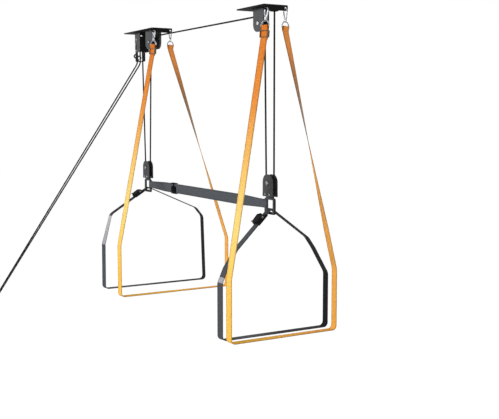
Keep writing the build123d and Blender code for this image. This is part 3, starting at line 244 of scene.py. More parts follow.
def rope_piece(name, path, flat, flecked=0.04):
    """Tube round a path: centre + radius (cos a side + sin a up), side and up square to the path.
    flat is a direction that the path never follows, flecked says how far its pale strand shows."""
    run = run_of(path)
    side = unit(np.cross(run, flat))
    up = np.cross(side, run)
    angle = np.linspace(0.0, 2 * math.pi, ROPE_SIDES, endpoint=False)[None, :, None]
    points = path[:, None] + ROPE_R * (np.cos(angle) * side[:, None] + np.sin(angle) * up[:, None])
    shown = np.full(len(path), flecked)
    piece = grid_piece(name, points, np.linspace(0.0, 1.0, ROPE_SIDES + 1), distances(path), fade=shown)
    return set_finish(piece, "rope")


# %% The pull cord's route
PULL_EYE = np.array((-0.065, 0.0, -0.10435))
RETURN_EYE = np.array((-0.077, -0.0065, -0.10435))
HAND = np.array((-0.310, -0.480, -0.962))
EYE_BEND = np.array((0.0, 0.0, -0.007))
LEG_SIDE = 0.00275
STRAIGHT_FROM = 0.030
LOOP_REACH = 0.061
LOOP_SIDE = 0.0195

pull_way = unit(HAND - PULL_EYE)
across = RETURN_EYE - PULL_EYE
loop_side = unit(across - pull_way * (across @ pull_way))
loop_face = np.cross(pull_way, loop_side)
pull_end = HAND - loop_side * LEG_SIDE
return_end = HAND + loop_side * LEG_SIDE
pull_bend = PULL_EYE + EYE_BEND
return_bend = RETURN_EYE + EYE_BEND
down = unit(pull_end - pull_bend)
up = unit(return_bend - return_end)
route = [PULL_EYE, pull_bend, pull_bend + down * STRAIGHT_FROM,
         pull_end - down * STRAIGHT_FROM, pull_end,
         HAND + pull_way * LOOP_REACH - loop_side * LOOP_SIDE,
         HAND + pull_way * LOOP_REACH + loop_side * LOOP_SIDE,
         return_end, return_end + up * STRAIGHT_FROM,
         return_bend - up * STRAIGHT_FROM, return_bend, RETURN_EYE]


# %% A smooth spline through the route
def spline_points(points):
    """Points read from a NURBS line of order 3 with the given control points."""
    curve = bpy.data.curves.new("route", "CURVE")
    curve.dimensions = "3D"
    spline = curve.splines.new("NURBS")
    spline.points.add(len(points) - 1)
    spline.points.foreach_set("co", np.c_[np.array(points), np.ones(len(points))].ravel())
    spline.order_u = 3
    spline.use_endpoint_u = True
    spline.resolution_u = 48
    holder = bpy.data.objects.new("route", curve)
    line = bpy.data.meshes.new_from_object(holder)
    places = np.empty(3 * len(line.vertices))
    line.vertices.foreach_get("co", places)
    bpy.data.objects.remove(holder)
    bpy.data.meshes.remove(line)
    bpy.data.curves.remove(curve)
    return places.reshape(-1, 3)


pull_path = evenly(spline_points(route), ROPE_STEP)
pull_cord = rope_piece("pull_cord", pull_path, loop_face, flecked=0.6)
pull_length = distances(pull_path)[-1]
print("pull cord", round(pull_length, 3), "m in", len(pull_path), "rings")

# %% [markdown]
# ## Knots
# Where the rope ends it is tied round itself: a coil of the same rope on the rope's own line. The hand
# loop's knot holds both legs, and the stopper knots stand on their eyes so that the rope can't pull
# through.

# %% Coils of rope
KNOT_STEP = 0.0012
KNOT_COIL_R = 0.0041
KNOT_PITCH = 0.0042
KNOT_TURNS = 2.0
KNOT_TUCK = 0.0022
HAND_KNOT_R = 0.0051
HAND_KNOT_PITCH = 0.0046
HAND_KNOT_TURNS = 3.4
POINTS_A_TURN = 40


def coil_path(turns, radius, pitch):
    """Helix about Z: radius (cos a, sin a), rising by the pitch each turn, its two ends drawn in."""
    a = np.linspace(-math.pi * turns, math.pi * turns, int(POINTS_A_TURN * turns))
    end = np.clip((np.abs(a) - math.pi * (turns - 0.5)) / (0.5 * math.pi), 0.0, 1.0)
    r = radius - KNOT_TUCK * end ** 2
    return np.stack([r * np.cos(a), r * np.sin(a), pitch * a / (2 * math.pi)], axis=1)


def knot_piece(name, middle, axes, turns, radius, pitch):
    """A coil set on a place, its axis along the third of three square directions."""
    path = coil_path(turns, radius, pitch) @ axes + middle
    return rope_piece(name, evenly(path, KNOT_STEP), axes[2])


hand_axes = np.array((loop_side, loop_face, pull_way))
hand_knot = knot_piece("hand_knot", HAND, hand_axes, HAND_KNOT_TURNS, HAND_KNOT_R, HAND_KNOT_PITCH)
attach(hand_knot, "ceiling_frame")
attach(pull_cord, "ceiling_frame")
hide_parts("pull_rope")

# %% [markdown]
# ## Falls, wraps and runs
# A fall is the straight rope between a ceiling wheel and a moving block. Its lean follows from the CAD
# box of the fall, and the same lean says where the rope leaves each wheel. A share that runs evenly from 0 to 1
# along each fall is worked out, but nothing uses it.

# %% Wheels and leans from the frame
SHEAVE_R = 0.0205
BRAKE_R = 0.0095
# Each fall with the way it leans along X and the block that it carries
FALLS = {"rope_fall_dead": (0, "end_block"), "rope_fall_end": (1, "end_block"),
         "rope_fall_main": (-1, "main_block"), "rope_fall_brake": (1, "main_block")}
X_AXIS, Y_AXIS, Z_AXIS = np.eye(3)
wheel = {name: np.array(joints[name + "_spin"]["pos_m"]) for name in
         ("end_sheave", "main_sheave", "end_block_sheave", "main_block_sheave", "brake_roller")}


def fall_ends(node, way):
    """Top and foot of a fall from its CAD box: the top lies further along X only where way is -1."""
    low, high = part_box(node)
    left = low.x + ROPE_R
    right = high.x - ROPE_R
    top_x, foot_x = (left, right) if way >= 0 else (right, left)
    return np.array((top_x, 0.0, high.z)), np.array((foot_x, 0.0, low.z))


lean = {}
for node, (way, block) in FALLS.items():
    top, foot = fall_ends(node, way)
    lean[node] = math.degrees(math.atan2(foot[0] - top[0], top[2] - foot[2]))
    path = evenly(np.array([top, foot]), ROPE_STEP)
    piece = rope_piece(node + "_cord", path, Y_AXIS)
    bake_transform(piece)
    share = np.repeat(np.linspace(0.0, 1.0, len(path)), ROPE_SIDES).astype(np.float32)
    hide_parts(node)
print("leans", {node: round(value, 2) for node, value in lean.items()})

# %% Rope held by the wheels
ARC_STEP = 4.0
ARC_LEAST = 9


def wheel_arc(name, radius, first, last):
    """Arc on a wheel in the rope's plane, between two angles in degrees from +X towards +Z."""
    a = np.radians(np.linspace(first, last, max(ARC_LEAST, int(abs(last - first) / ARC_STEP))))[:, None]
    return wheel[name] + radius * np.concatenate([np.cos(a), np.zeros_like(a), np.sin(a)], axis=1)


runs = {"cross_run": [wheel_arc("end_sheave", SHEAVE_R, lean["rope_fall_end"], 90.0),
                      wheel_arc("main_sheave", SHEAVE_R, 90.0, 180.0 + lean["rope_fall_main"])],
        "brake_run": [wheel_arc("brake_roller", BRAKE_R, lean["rope_fall_brake"], 180.0), PULL_EYE[None]]}
rope_parts = []
for name, lines in runs.items():
    rope_parts.append(rope_piece(name, evenly(np.concatenate(lines), ROPE_STEP), Y_AXIS))
wraps = {"end": ("rope_fall_end", "rope_fall_dead"), "main": ("rope_fall_brake", "rope_fall_main")}
for end, (left, right) in wraps.items():
    path = wheel_arc(end + "_block_sheave", SHEAVE_R, 180.0 + lean[left], 360.0 + lean[right])
    piece = rope_piece("rope_wrap_" + end + "_cord", evenly(path, ROPE_STEP), Y_AXIS)
    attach(piece, end + "_block")
    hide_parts("rope_wrap_" + end)

# %% Stopper knots at the anchor and beside the guide
# Thickness of the anchor and of the guide, and how high the knot's middle stands on them
SEAT_T = 0.002
KNOT_RISE = 0.0052
holes = {"dead_end": fall_ends("rope_fall_dead", 0)[0], "return_end": RETURN_EYE}
for name, hole in holes.items():
    seat = hole + Z_AXIS * SEAT_T
    middle = seat + Z_AXIS * KNOT_RISE
    rope_parts.append(knot_piece(name + "_knot", middle, np.eye(3), KNOT_TURNS, KNOT_COIL_R, KNOT_PITCH))
    stem = np.array([hole, middle + Z_AXIS * KNOT_RISE])
    rope_parts.append(rope_piece(name + "_stem", evenly(stem, KNOT_STEP), Y_AXIS))

# %% The bight and the tail above the return knot
BIGHT_R = 0.0058
BIGHT_UP = 0.0180
BIGHT_SIDE = -0.0052
BIGHT_LEAN = 0.0014
ARC_POINTS = 60
# First and last angle of the bight in degrees
BIGHT_FROM = -70.0
BIGHT_TO = 250.0
# Where the bight leaves the knot and goes back into it, and the tail's line, from the knot's seat
NECK = ((0.0006, 0.0, 0.0035), (0.0006, 0.0002, 0.0075))
TUCK = ((-0.0006, -0.0024, 0.0075), (-0.0006, -0.0020, 0.0035))
TAIL = ((0.0, 0.0008, 0.0080), (-0.0004, 0.0020, 0.0175), (0.0, 0.0085, 0.0195),
        (0.0004, 0.0125, 0.0150), (0.0006, 0.0150, 0.0105))
a = np.radians(np.linspace(BIGHT_FROM, BIGHT_TO, ARC_POINTS))
c = np.cos(a)
loop = np.stack([BIGHT_LEAN * c, BIGHT_R * c + BIGHT_SIDE, BIGHT_R * np.sin(a) + BIGHT_UP], axis=1)
seat = RETURN_EYE + Z_AXIS * SEAT_T
loose = {"bight": np.concatenate([NECK, loop, TUCK]) + seat, "tail": spline_points(np.array(TAIL) + seat)}
for name, line in loose.items():
    rope_parts.append(rope_piece("return_end_" + name, evenly(line, KNOT_STEP), X_AXIS))
for piece in rope_parts:
    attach(piece, "ceiling_frame")
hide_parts("hoist_rope")
print("rope pieces", len(rope_parts) + len(FALLS) + len(wraps) + 2)

# %% [markdown]
# ## Webbing
# Webbing is a woven band an inch wide. Its profile is flat with rounded edges and a slightly thicker
# selvedge. The band follows a path with a direction across it, so it can lie flat on a bar, twist on its
# way down and turn under the load.

# %% A band along a path
WEB_W = 0.0254
WEB_T = 0.0018
WEB_COLUMNS = 36
EDGE_ROUND = 0.22
FACE_ROUND = 0.45
SELVEDGE = 0.10
SELVEDGE_AT = 0.90
SELVEDGE_W = 0.05


def flattened(wave, power):
    """A wave with its crests flattened: its size raised to a small power, its sign kept."""
    return np.sign(wave) * np.abs(wave) ** power


def band_profile():
    """Closed outline of the webbing: a cosine across and a sine through it, both flattened."""
    a = np.linspace(0.0, 2 * math.pi, WEB_COLUMNS, endpoint=False)
    wide = flattened(np.cos(a), EDGE_ROUND)
    rim = np.exp(-((np.abs(wide) - SELVEDGE_AT) / SELVEDGE_W) ** 2)
    thick = flattened(np.sin(a), FACE_ROUND) * (1.0 - SELVEDGE + SELVEDGE * rim)
    return wide * WEB_W / 2, thick * WEB_T / 2


def band_piece(name, path, across, slot, fade, ring=False, width=1.0):
    """Webbing along a path: centre + width across + thickness along the face normal.
    fade is a tone for each row, and width a share of the inch, for all rows or for each."""
    run = run_of(path, ring)
    across = unit(across - run * np.sum(across * run, axis=1, keepdims=True))
    normal = np.cross(run, across)
    wide, thick = band_profile()
    spread = np.broadcast_to(width, len(path))[:, None] * wide[None]
    points = path[:, None] + spread[..., None] * across[:, None] + thick[None, :, None] * normal[:, None]
    around = np.append(wide, wide[0]) / WEB_W + 0.5
    along = distances(np.concatenate([path, path[:1]])) if ring else distances(path)
    piece = grid_piece(name, points, around, along, ring, fade)
    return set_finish(piece, slot)


# %% [markdown]
# ## Slings
# Each sling is a loop that lies over the hanger's lower bar and spreads round the load, which isn't part
# of this object. The loop's inner face is given by a few corners in Y and in height below the block's
# axle.

# %% Sling loops
SLING_STEP = 0.001
BAR_DROP = 0.0728
BAR_TURN_R = 0.00355
SHOULDER_R = 0.026
LOW_CORNER_R = 0.014
SLING_NEAR = {"main": [(-0.145, -0.160), (-0.173, -0.265), (-0.174, -0.425)],
              "end": [(-0.111, -0.178), (-0.142, -0.226), (-0.159, -0.265), (-0.159, -0.425)]}
SLING_FAR = {"main": [(0.189, -0.153), (0.216, -0.186), (0.224, -0.425)],
             "end": [(0.121, -0.157), (0.144, -0.189), (0.189, -0.265), (0.189, -0.425)]}
FADE_HALF = 0.030
# Places of the plain slate on the ramp of painted light and shade: the spacer strap's and the slings'
SPACER_RAMP = 0.80
SLING_RAMP = 0.70
# Height below the axle from which each near branch is painted lighter, as if lit
PAINTED_LIT_FROM = {"main": -0.150, "end": 0.0}
# Heights below the axle between which a near branch leans back and gets a painted highlight, with places on the
# ramp
LIT = {"main": ((-0.275, -0.265, -0.166, -0.158), (0.0, 0.94, 1.0, 0.0)),
       "end": ((-0.272, -0.264, -0.251, -0.243), (0.0, 0.95, 0.95, 0.0))}
# Degrees by which the near branch turns towards the far end where it lies on the load, and how soon it does
LOAD_TURN = 8.0
TURN_RUN = 0.090


def tangent_point(centre, radius, point, side):
    """Where a line from a point touches a circle, on the given side."""
    way = point - centre
    angle = math.atan2(way[1], way[0]) + side * math.acos(radius / np.linalg.norm(way))
    return centre + radius * np.array((math.cos(angle), math.sin(angle)))


def lines_cross(a, b, c, d):
    """Where the line through a and b meets the line through c and d."""
    t = np.linalg.solve(np.stack([b - a, c - d], axis=1), c - a)
    return a + (b - a) * t[0]


def sling_route(near, far):
    """Inner face of the loop: from under the load up to the bar, over it and down the other side."""
    near = np.array(near)
    far = np.array(far)
    bar = np.array((0.0, -BAR_DROP))
    near_touch = tangent_point(bar, BAR_TURN_R, near[0], -1)
    far_touch = tangent_point(bar, BAR_TURN_R, far[0], 1)
    apex = lines_cross(near[0], near_touch, far[0], far_touch)
    middle = (near[-1] + far[-1]) / 2
    radii = [SHOULDER_R] * (len(near) + len(far) + 1)
    radii[0] = LOW_CORNER_R
    radii[len(near)] = BAR_TURN_R
    radii[-1] = LOW_CORNER_R
    return np.concatenate([[middle], near[::-1], [apex], far, [middle]]), radii


sling_apex = {}
for end in ENDS:
    low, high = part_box(end + "_sling")
    axle_z = wheel[end + "_block_sheave"][2]
    corners, radii = sling_route(SLING_NEAR[end], SLING_FAR[end])
    sling_apex[end] = corners[len(SLING_NEAR[end]) + 1]
    middle_x = np.full(len(corners), (low.x + high.x) / 2)
    corners = np.stack([middle_x, corners[:, 0], corners[:, 1] + axle_z], axis=1)
    path = rounded_runs(corners, radii, SLING_STEP)[:-1]
    path = path + np.cross(run_of(path, ring=True), X_AXIS) * WEB_T / 2
    height = path[:, 2] - axle_z
    # Painted light and shade: the far branch, and the near branch above its start, stay near-black as painted
    # shade; the near branch is painted lighter below that, and paler still as a painted highlight where it leans
    # back
    near_share = np.clip(0.5 - path[:, 1] / (2 * FADE_HALF), 0.0, 1.0)
    below = np.clip((PAINTED_LIT_FROM[end] - height) / FADE_HALF, 0.0, 1.0)
    wear_and_painted_light = near_share * np.maximum(SLING_RAMP * below, np.interp(height, *LIT[end]))
    lies = np.clip((SLING_NEAR[end][0][1] - height) / TURN_RUN, 0.0, 1.0)
    turn = np.radians(LOAD_TURN * near_share * lies)[:, None]
    across = X_AXIS * np.cos(turn) + Y_AXIS * np.sin(turn)
    piece = band_piece(end + "_sling_webbing", path, across, "black_webbing", wear_and_painted_light, ring=True)
    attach(piece, end + "_block")
    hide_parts(end + "_sling")
    print(end, "sling loop", round(distances(path)[-1], 3), "m")

# %% [markdown]
# ## Spacer strap
# The spacer strap keeps the two blocks apart. It is sewn round a leg of the far hanger, and at the brake
# end it goes round the hanger's leg and comes back to a slider, so its length can be set. It is a wider
# webbing, drawn in at both ends to pass through the hangers' windows.

# %% Spacer strap
SPACER_STEP = 0.0015
LAYER = 0.00095
SLIDER_X = 0.216
SLIDER_PAST = 0.026
LAYERS_JOIN = 0.022
SEW_LENGTH = 0.030
LEG_TAPER = 0.0185
LEG_IN = 0.0045
LEG_X = 0.00485
LEG_Y = 0.00285 + WEB_T / 2
LEG_R = 0.0012
SOFT_R = 0.030
SPACER_W = 0.03175
SPACER_END_W = 0.0234
NARROW_FROM = 0.00765
NARROW_TO = 0.130
main_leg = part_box("main_hanger")[1].x - LEG_IN
end_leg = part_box("end_hanger")[0].x + LEG_IN
low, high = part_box("spacer_strap")
spacer_z = (low.z + high.z) / 2


def round_leg(leg, way):
    """Corners of the band round a hanger's leg, layer to layer; way is 1 or -1, where the strap leaves to."""
    back = -LEG_X - WEB_T / 2
    corners = ((LEG_X + LEG_TAPER, LAYER), (LEG_X, LEG_Y), (back, LEG_Y),
               (back, -LEG_Y), (LEG_X, -LEG_Y), (LEG_X + LEG_TAPER, -LAYER))
    return [(leg + way * x, way * y) for x, y in corners]


joined_x = SLIDER_X + SLIDER_PAST
sewn_x = end_leg - LEG_X - SEW_LENGTH
spacer = [(SLIDER_X, LAYER), *round_leg(main_leg, 1), (joined_x, -LAYER), (joined_x + LAYERS_JOIN, 0.0),
          (sewn_x - LAYERS_JOIN, 0.0), (sewn_x, -LAYER), *round_leg(end_leg, -1), (sewn_x, LAYER)]
leg_radii = [SOFT_R, SOFT_R, LEG_R, LEG_R, SOFT_R, SOFT_R]
corners = np.array([(x, y, spacer_z) for x, y in spacer])
path = rounded_runs(corners, leg_radii + [SOFT_R] * 4 + leg_radii, SPACER_STEP)
to_leg = np.minimum(path[:, 0] - main_leg, end_leg - path[:, 0])
width = np.interp(to_leg, [NARROW_FROM, NARROW_TO], [SPACER_END_W, SPACER_W]) / WEB_W
tone = np.full(len(path), SPACER_RAMP)
across = np.tile(Z_AXIS, (len(path), 1))
piece = band_piece("spacer_webbing", path, across, "black_webbing", tone, width=width)
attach(piece, "end_block")
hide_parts("spacer_strap")
print("spacer webbing", round(distances(path)[-1], 3), "m")

# %% [markdown]
# ## The slider's face
# The slider is moulded with a closed near face that hides the webbing it grips. The face is a thin plate
# between the slider's rails: a rounded outline, carried from the back of the plate over a soft edge to
# its front.

# %% Slider face
FACE_LONG = 0.0178
FACE_HIGH = 0.0112
FACE_DROP = 0.0040
FACE_IN = 0.0004
FACE_T = 0.0017
FACE_CORNER = 0.25
FACE_SOFT = 0.0007
FACE_BEVEL = 0.3 * FACE_SOFT
FACE_COLUMNS = 48
low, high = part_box("spacer_slider")
a = np.linspace(0.0, 2 * math.pi, FACE_COLUMNS, endpoint=False)[None, :]
# Inset of the outline and depth behind the front, from the back of the plate to its front
inset, behind = np.array([(0.0, FACE_T), (0.0, FACE_SOFT), (FACE_BEVEL, FACE_BEVEL), (FACE_SOFT, 0.0)]).T
face_x = (low.x + high.x) / 2 + flattened(np.cos(a), FACE_CORNER) * (FACE_LONG - inset[:, None])
face_y = low.y + FACE_IN + behind[:, None] + 0 * a
face_z = flattened(np.sin(a), FACE_CORNER) * (FACE_HIGH - inset[:, None])
face_z = (low.z + high.z) / 2 - FACE_DROP + face_z
points = np.stack([face_x, face_y, face_z], axis=-1)
slider_face = grid_piece("slider_face", points, np.linspace(0.0, 1.0, FACE_COLUMNS + 1), behind)
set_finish(slider_face, "slider_plastic")
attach(slider_face, "end_block")
print("slider face", round(2 * FACE_LONG, 4), "by", round(2 * FACE_HIGH, 4), "m")

# %% [markdown]
# ## Safety straps
# A safety strap hangs from two snap hooks. At each end the webbing goes round a ring's bar and is sewn to
# itself. The rings swivel, so the band starts turned and twists on its way down until it lies flat on the
# load.

# %% Safety straps
STRAP_STEP = 0.003
EYE_STEP = 0.0007
HOOK_DROP = 0.0109
HOOK_SIDE = 0.030
FLANGE_IN = 0.0015
BAR_BELOW = 0.0486
EYE_LINE_R = 0.0030
EYE_NECK = 0.009
# Share of the tail that leans in from the bar; the rest lies flat on the strap
TAIL_LEANS = 0.6
# Values of a strap's near side, -1, and far side, 1. LEAVE is how far below the bar it leaves the ring's
# plane, TWIST the shares of its drop between which it twists, and LIES_AT the angle it comes to
RING_TURN = {-1: 76.0, 1: 20.0}
RING_LEAN = {-1: -5.0, 1: 0.0}
SEWN_TAIL = {-1: 0.036, 1: 0.012}
LEAVE = {-1: 0.030, 1: 0.014}
LEAVE_R = {-1: 0.060, 1: 0.006}
TWIST = {-1: (0.80, 1.00), 1: (0.00, 0.83)}
LIES_AT = {-1: 90.0 - LOAD_TURN, 1: 90.0}
EDGE_R = 0.040
UNDER_R = 0.012
STRAP_LOW = -0.908
STRAP_EDGE = {"main": (-0.175, 0.235, -0.733), "end": (-0.153, 0.190, -0.733)}
# Shares of the ramp of painted light and shade: the near branch goes up it from its start, the far branch down
# from its end
NEAR_RAMP = 0.70
FAR_RAMP = 0.24
UNDER_FADE = 0.090


def turned(axis, degrees):
    """Matrix that turns a column about one of the three axes."""
    c = math.cos(math.radians(degrees))
    s = math.sin(math.radians(degrees))
    i, j = [(1, 2), (2, 0), (0, 1)][axis]
    matrix = np.eye(3)
    matrix[[i, i, j, j], [i, j, i, j]] = [c, -s, s, c]
    return matrix


def ring_frame(flange, side):
    """Axes and origin of a ring: the hook's top in the flange hole, leaned and then turned on the swivel."""
    axes = turned(0, RING_LEAN[side]) @ turned(2, side * RING_TURN[side])
    return axes, np.array((flange - FLANGE_IN, side * HOOK_SIDE, -HOOK_DROP))


def eye_path(tail):
    """Band's line in the ring's own X and Z: up the tail, over the ring's bar and down the strap."""
    neck = (LAYER, -EYE_NECK)
    touch = math.degrees(math.acos(EYE_LINE_R / np.linalg.norm(neck)) + math.atan2(neck[1], neck[0]))
    a = np.radians(np.linspace(180.0 - touch, touch, ARC_POINTS))
    arc = EYE_LINE_R * np.stack([np.cos(a), np.sin(a)], axis=1)
    line = np.concatenate([[(-LAYER, -tail), (-LAYER, -max(EYE_NECK, TAIL_LEANS * tail))], arc, [neck]])
    return evenly(np.stack([line[:, 0], 0 * line[:, 0], line[:, 1] - BAR_BELOW], axis=1), EYE_STEP)


def level_across(way, towards):
    """The direction square to a run that points most nearly towards another."""
    way = unit(way)
    return unit(towards - way * (way @ towards))


for end in ENDS:
    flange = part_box(end + "_plate")[1].x
    strap_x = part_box(end + "_safety_strap")[1].x - WEB_W / 2
    near_y, far_y, edge_z = STRAP_EDGE[end]
    middle_y = (near_y + far_y) / 2
    eye = {}
    leave = {}
    level = {}
    flat = {}
    for side, edge_y in ((-1, near_y), (1, far_y)):
        axes, spot = ring_frame(flange, side)
        eye[side] = eye_path(SEWN_TAIL[side]) @ axes.T + spot
        leave[side] = axes @ np.array((LAYER, 0.0, -BAR_BELOW - LEAVE[side])) + spot
        level[side] = level_across((strap_x, edge_y, edge_z) - leave[side], -side * Y_AXIS)
        flat[side] = np.tile(-side * axes[:, 1], (len(eye[side]) - 1, 1))
    corners = [eye[-1][-1], leave[-1], (strap_x, near_y, edge_z), (strap_x, near_y, STRAP_LOW),
               (strap_x, far_y, STRAP_LOW), (strap_x, far_y, edge_z), leave[1], eye[1][-1]]
    path = rounded_runs(corners, [LEAVE_R[-1], EDGE_R, UNDER_R, UNDER_R, EDGE_R, LEAVE_R[1]], STRAP_STEP)
    twisted = {}
    for side in (-1, 1):
        drop = (leave[side][2] - path[:, 2]) / (leave[side][2] - edge_z)
        angle = np.radians(np.interp(drop, TWIST[side], (RING_TURN[side], LIES_AT[side])))[:, None]
        twisted[side] = level[side] * np.cos(angle) + X_AXIS * np.sin(angle)
    across = np.where(path[:, 1:2] < middle_y, twisted[-1], twisted[1])
    across = np.concatenate([flat[-1], across, flat[1]])
    whole = np.concatenate([eye[-1][:-1], path, eye[1][:-1][::-1]])
    depth = np.clip(whole[:, 2] / STRAP_LOW, 0.0, 1.0)
    along = distances(whole)
    under = along[np.count_nonzero(whole[:, 1] < middle_y)]
    near_share = np.clip(0.5 - (along - under) / (2 * UNDER_FADE), 0.0, 1.0)
    # Painted light and shade: the near branch is painted paler as it goes down, the far branch deeper, as lit and
    # shaded sides
    fade = near_share * NEAR_RAMP * depth + (1.0 - near_share) * (1.0 - FAR_RAMP * depth)
    piece = band_piece(end + "_safety_webbing", whole, across, "orange_webbing", fade)
    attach(piece, "ceiling_frame")
    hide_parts(end + "_safety_strap")
    print(end, "safety webbing", round(along[-1], 3), "m")

# %% [markdown]
# ## Stitches
# Sewn webbing shows rows of thread. Each stitch is a tiny pillow that stands about 0.3 mm proud of the
# band. All stitches of a seam are one mesh: one pillow is worked out once and set down at every place.

# %% Rows of stitches
STITCH_PITCH = 0.0026
STITCH_HALF = np.array((0.00105, 0.00035, 0.00040))
STITCH_ROWS = 4
STITCH_COLUMNS = 6
# How far the rows end from the edge of a strap and of the spacer strap
TACK_EDGE = 0.0032
BOX_EDGE = 0.0030


def pillow():
    """Unit ball as two poles and a few rings: (cos u, sin u cos v, sin u sin v), with its faces."""
    u = np.linspace(0.0, math.pi, STITCH_ROWS + 2)[1:-1, None]
    v = np.linspace(0.0, 2 * math.pi, STITCH_COLUMNS, endpoint=False)[None]
    rings = np.stack([np.cos(u) + 0 * v, np.sin(u) * np.cos(v), np.sin(u) * np.sin(v)], axis=-1)
    points = np.concatenate([[(1.0, 0.0, 0.0)], rings.reshape(-1, 3), [(-1.0, 0.0, 0.0)]])
    k = np.arange(STITCH_COLUMNS)
    beside = (k + 1) % STITCH_COLUMNS
    first = 1 + STITCH_COLUMNS * np.arange(STITCH_ROWS - 1)[:, None]
    second = first + STITCH_COLUMNS
    quads = np.stack([first + k, second + k, second + beside, first + beside], axis=-1).reshape(-1, 4)
    last = len(points) - 1
    foot = last - STITCH_COLUMNS
    caps = np.concatenate([np.stack([0 * k, 1 + k, 1 + beside], axis=-1),
                           np.stack([0 * k + last, foot + beside, foot + k], axis=-1)])
    return points, quads, caps


def stitch_piece(name, rows, out, slot, body):
    """Rows of stitches, each row from a start to an end; out is the direction in which they stand proud."""
    points, quads, caps = pillow()
    middles = []
    ways = []
    for start, end in rows:
        count = max(1, int(round(np.linalg.norm(end - start) / STITCH_PITCH)))
        s = (np.arange(count) + 0.5)[:, None] / count
        middles.append(start + (end - start) * s)
        ways.append(np.tile(unit(end - start), (count, 1)))
    middles = np.concatenate(middles)
    ways = np.concatenate(ways)
    axes = np.stack([ways, np.cross(out, ways), np.broadcast_to(out, ways.shape)], axis=1)
    places = middles[:, None] + points * STITCH_HALF @ axes
    offset = (np.arange(len(middles)) * len(points))[:, None, None]
    faces = (quads[None] + offset).reshape(-1, 4).tolist() + (caps[None] + offset).reshape(-1, 3).tolist()
    piece = new_piece(name, places, faces)
    piece.data.polygons.foreach_set("use_smooth", np.ones(len(faces), bool))
    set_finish(piece, slot)
    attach(piece, body)
    return len(middles)


def tack_rows(middle, way, across, length, rows):
    """Rows across the band, evenly spread along its run, about a middle point."""
    half = across * (WEB_W / 2 - TACK_EDGE)
    centres = [middle + way * s for s in np.linspace(-length / 2, length / 2, rows)]
    return [(centre - half, centre + half) for centre in centres]


def box_rows(middle, way, across, length):
    """A sewn box with a cross in it: four sides and two diagonals."""
    a = way * length / 2
    b = across * (SPACER_END_W / 2 - BOX_EDGE)
    corner = [middle - a - b, middle + a - b, middle + a + b, middle - a + b]
    pairs = ((0, 1), (1, 2), (2, 3), (3, 0), (0, 2), (1, 3))
    return [(corner[i], corner[j]) for i, j in pairs]


# %% Sewn places of the straps and slings
SEAM_OUT = 0.00012
# Side of the strap, distance of its rows below the ring's bar, and how far apart they lie
TACKS = {"near": (-1, 0.90 * SEWN_TAIL[-1], 0.0022), "far": (1, 0.85 * SEWN_TAIL[1], 0.0030)}
SLING_TACK_DOWN = 0.0165
SLING_TACK_LENGTH = 0.0050
SLING_TACK_ROWS = 3
STRAP_TACK_ROWS = 2
strap_face = LAYER + WEB_T / 2 - SEAM_OUT
sewn = 0
for end in ENDS:
    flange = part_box(end + "_plate")[1].x
    for label, (side, down, length) in TACKS.items():
        axes, spot = ring_frame(flange, side)
        for face, word in ((1, "front"), (-1, "back")):
            middle = axes @ np.array((face * strap_face, 0.0, -BAR_BELOW - down)) + spot
            rows = tack_rows(middle, axes[:, 2], axes[:, 1], length, STRAP_TACK_ROWS)
            name = end + "_" + label + "_tack_" + word
            sewn += stitch_piece(name, rows, axes[:, 0] * face, "orange_webbing", "ceiling_frame")
    low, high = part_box(end + "_sling")
    over = np.array(((low.x + high.x) / 2, 0.0, wheel[end + "_block_sheave"][2]))
    apex, shoulder = [np.array((0.0, *c)) + over for c in (sling_apex[end], SLING_NEAR[end][0])]
    way = unit(shoulder - apex)
    out = np.cross(way, X_AXIS)
    out = out * -np.sign(out[1])
    middle = apex + way * SLING_TACK_DOWN + out * (WEB_T - SEAM_OUT)
    rows = tack_rows(middle, way, X_AXIS, SLING_TACK_LENGTH, SLING_TACK_ROWS)
    sewn += stitch_piece(end + "_sling_tack", rows, out, "black_webbing", end + "_block")
box_length = SEW_LENGTH - LEG_TAPER
box_middle = np.array((sewn_x + box_length / 2, 0.0, spacer_z))
for face, word in ((-1, "near"), (1, "far")):
    rows = box_rows(box_middle + Y_AXIS * face * strap_face, X_AXIS, Z_AXIS, box_length)
    sewn += stitch_piece("spacer_box_seam_" + word, rows, Y_AXIS * face, "black_webbing", "end_block")
print("stitches", sewn)

# %% [markdown]
# ## Welds
# The yokes and the brake housing are folded channels welded up to their plates. A short bead lies in the
# groove beside each fold. A bead is a round sunk in that groove, with the ripples of its weld pool, under
# the same coat.

# %% Weld beads
WELDED = ("main_yoke", "end_yoke", "brake_housing")
BEAD_R = 0.0022
BEAD_LENGTH = 0.022
BEAD_IN = 0.006
BEAD_SUNK = 0.0012
BEAD_RIPPLE = 0.0016
RIPPLE_DEPTH = 0.14
BEAD_STEPS = 56
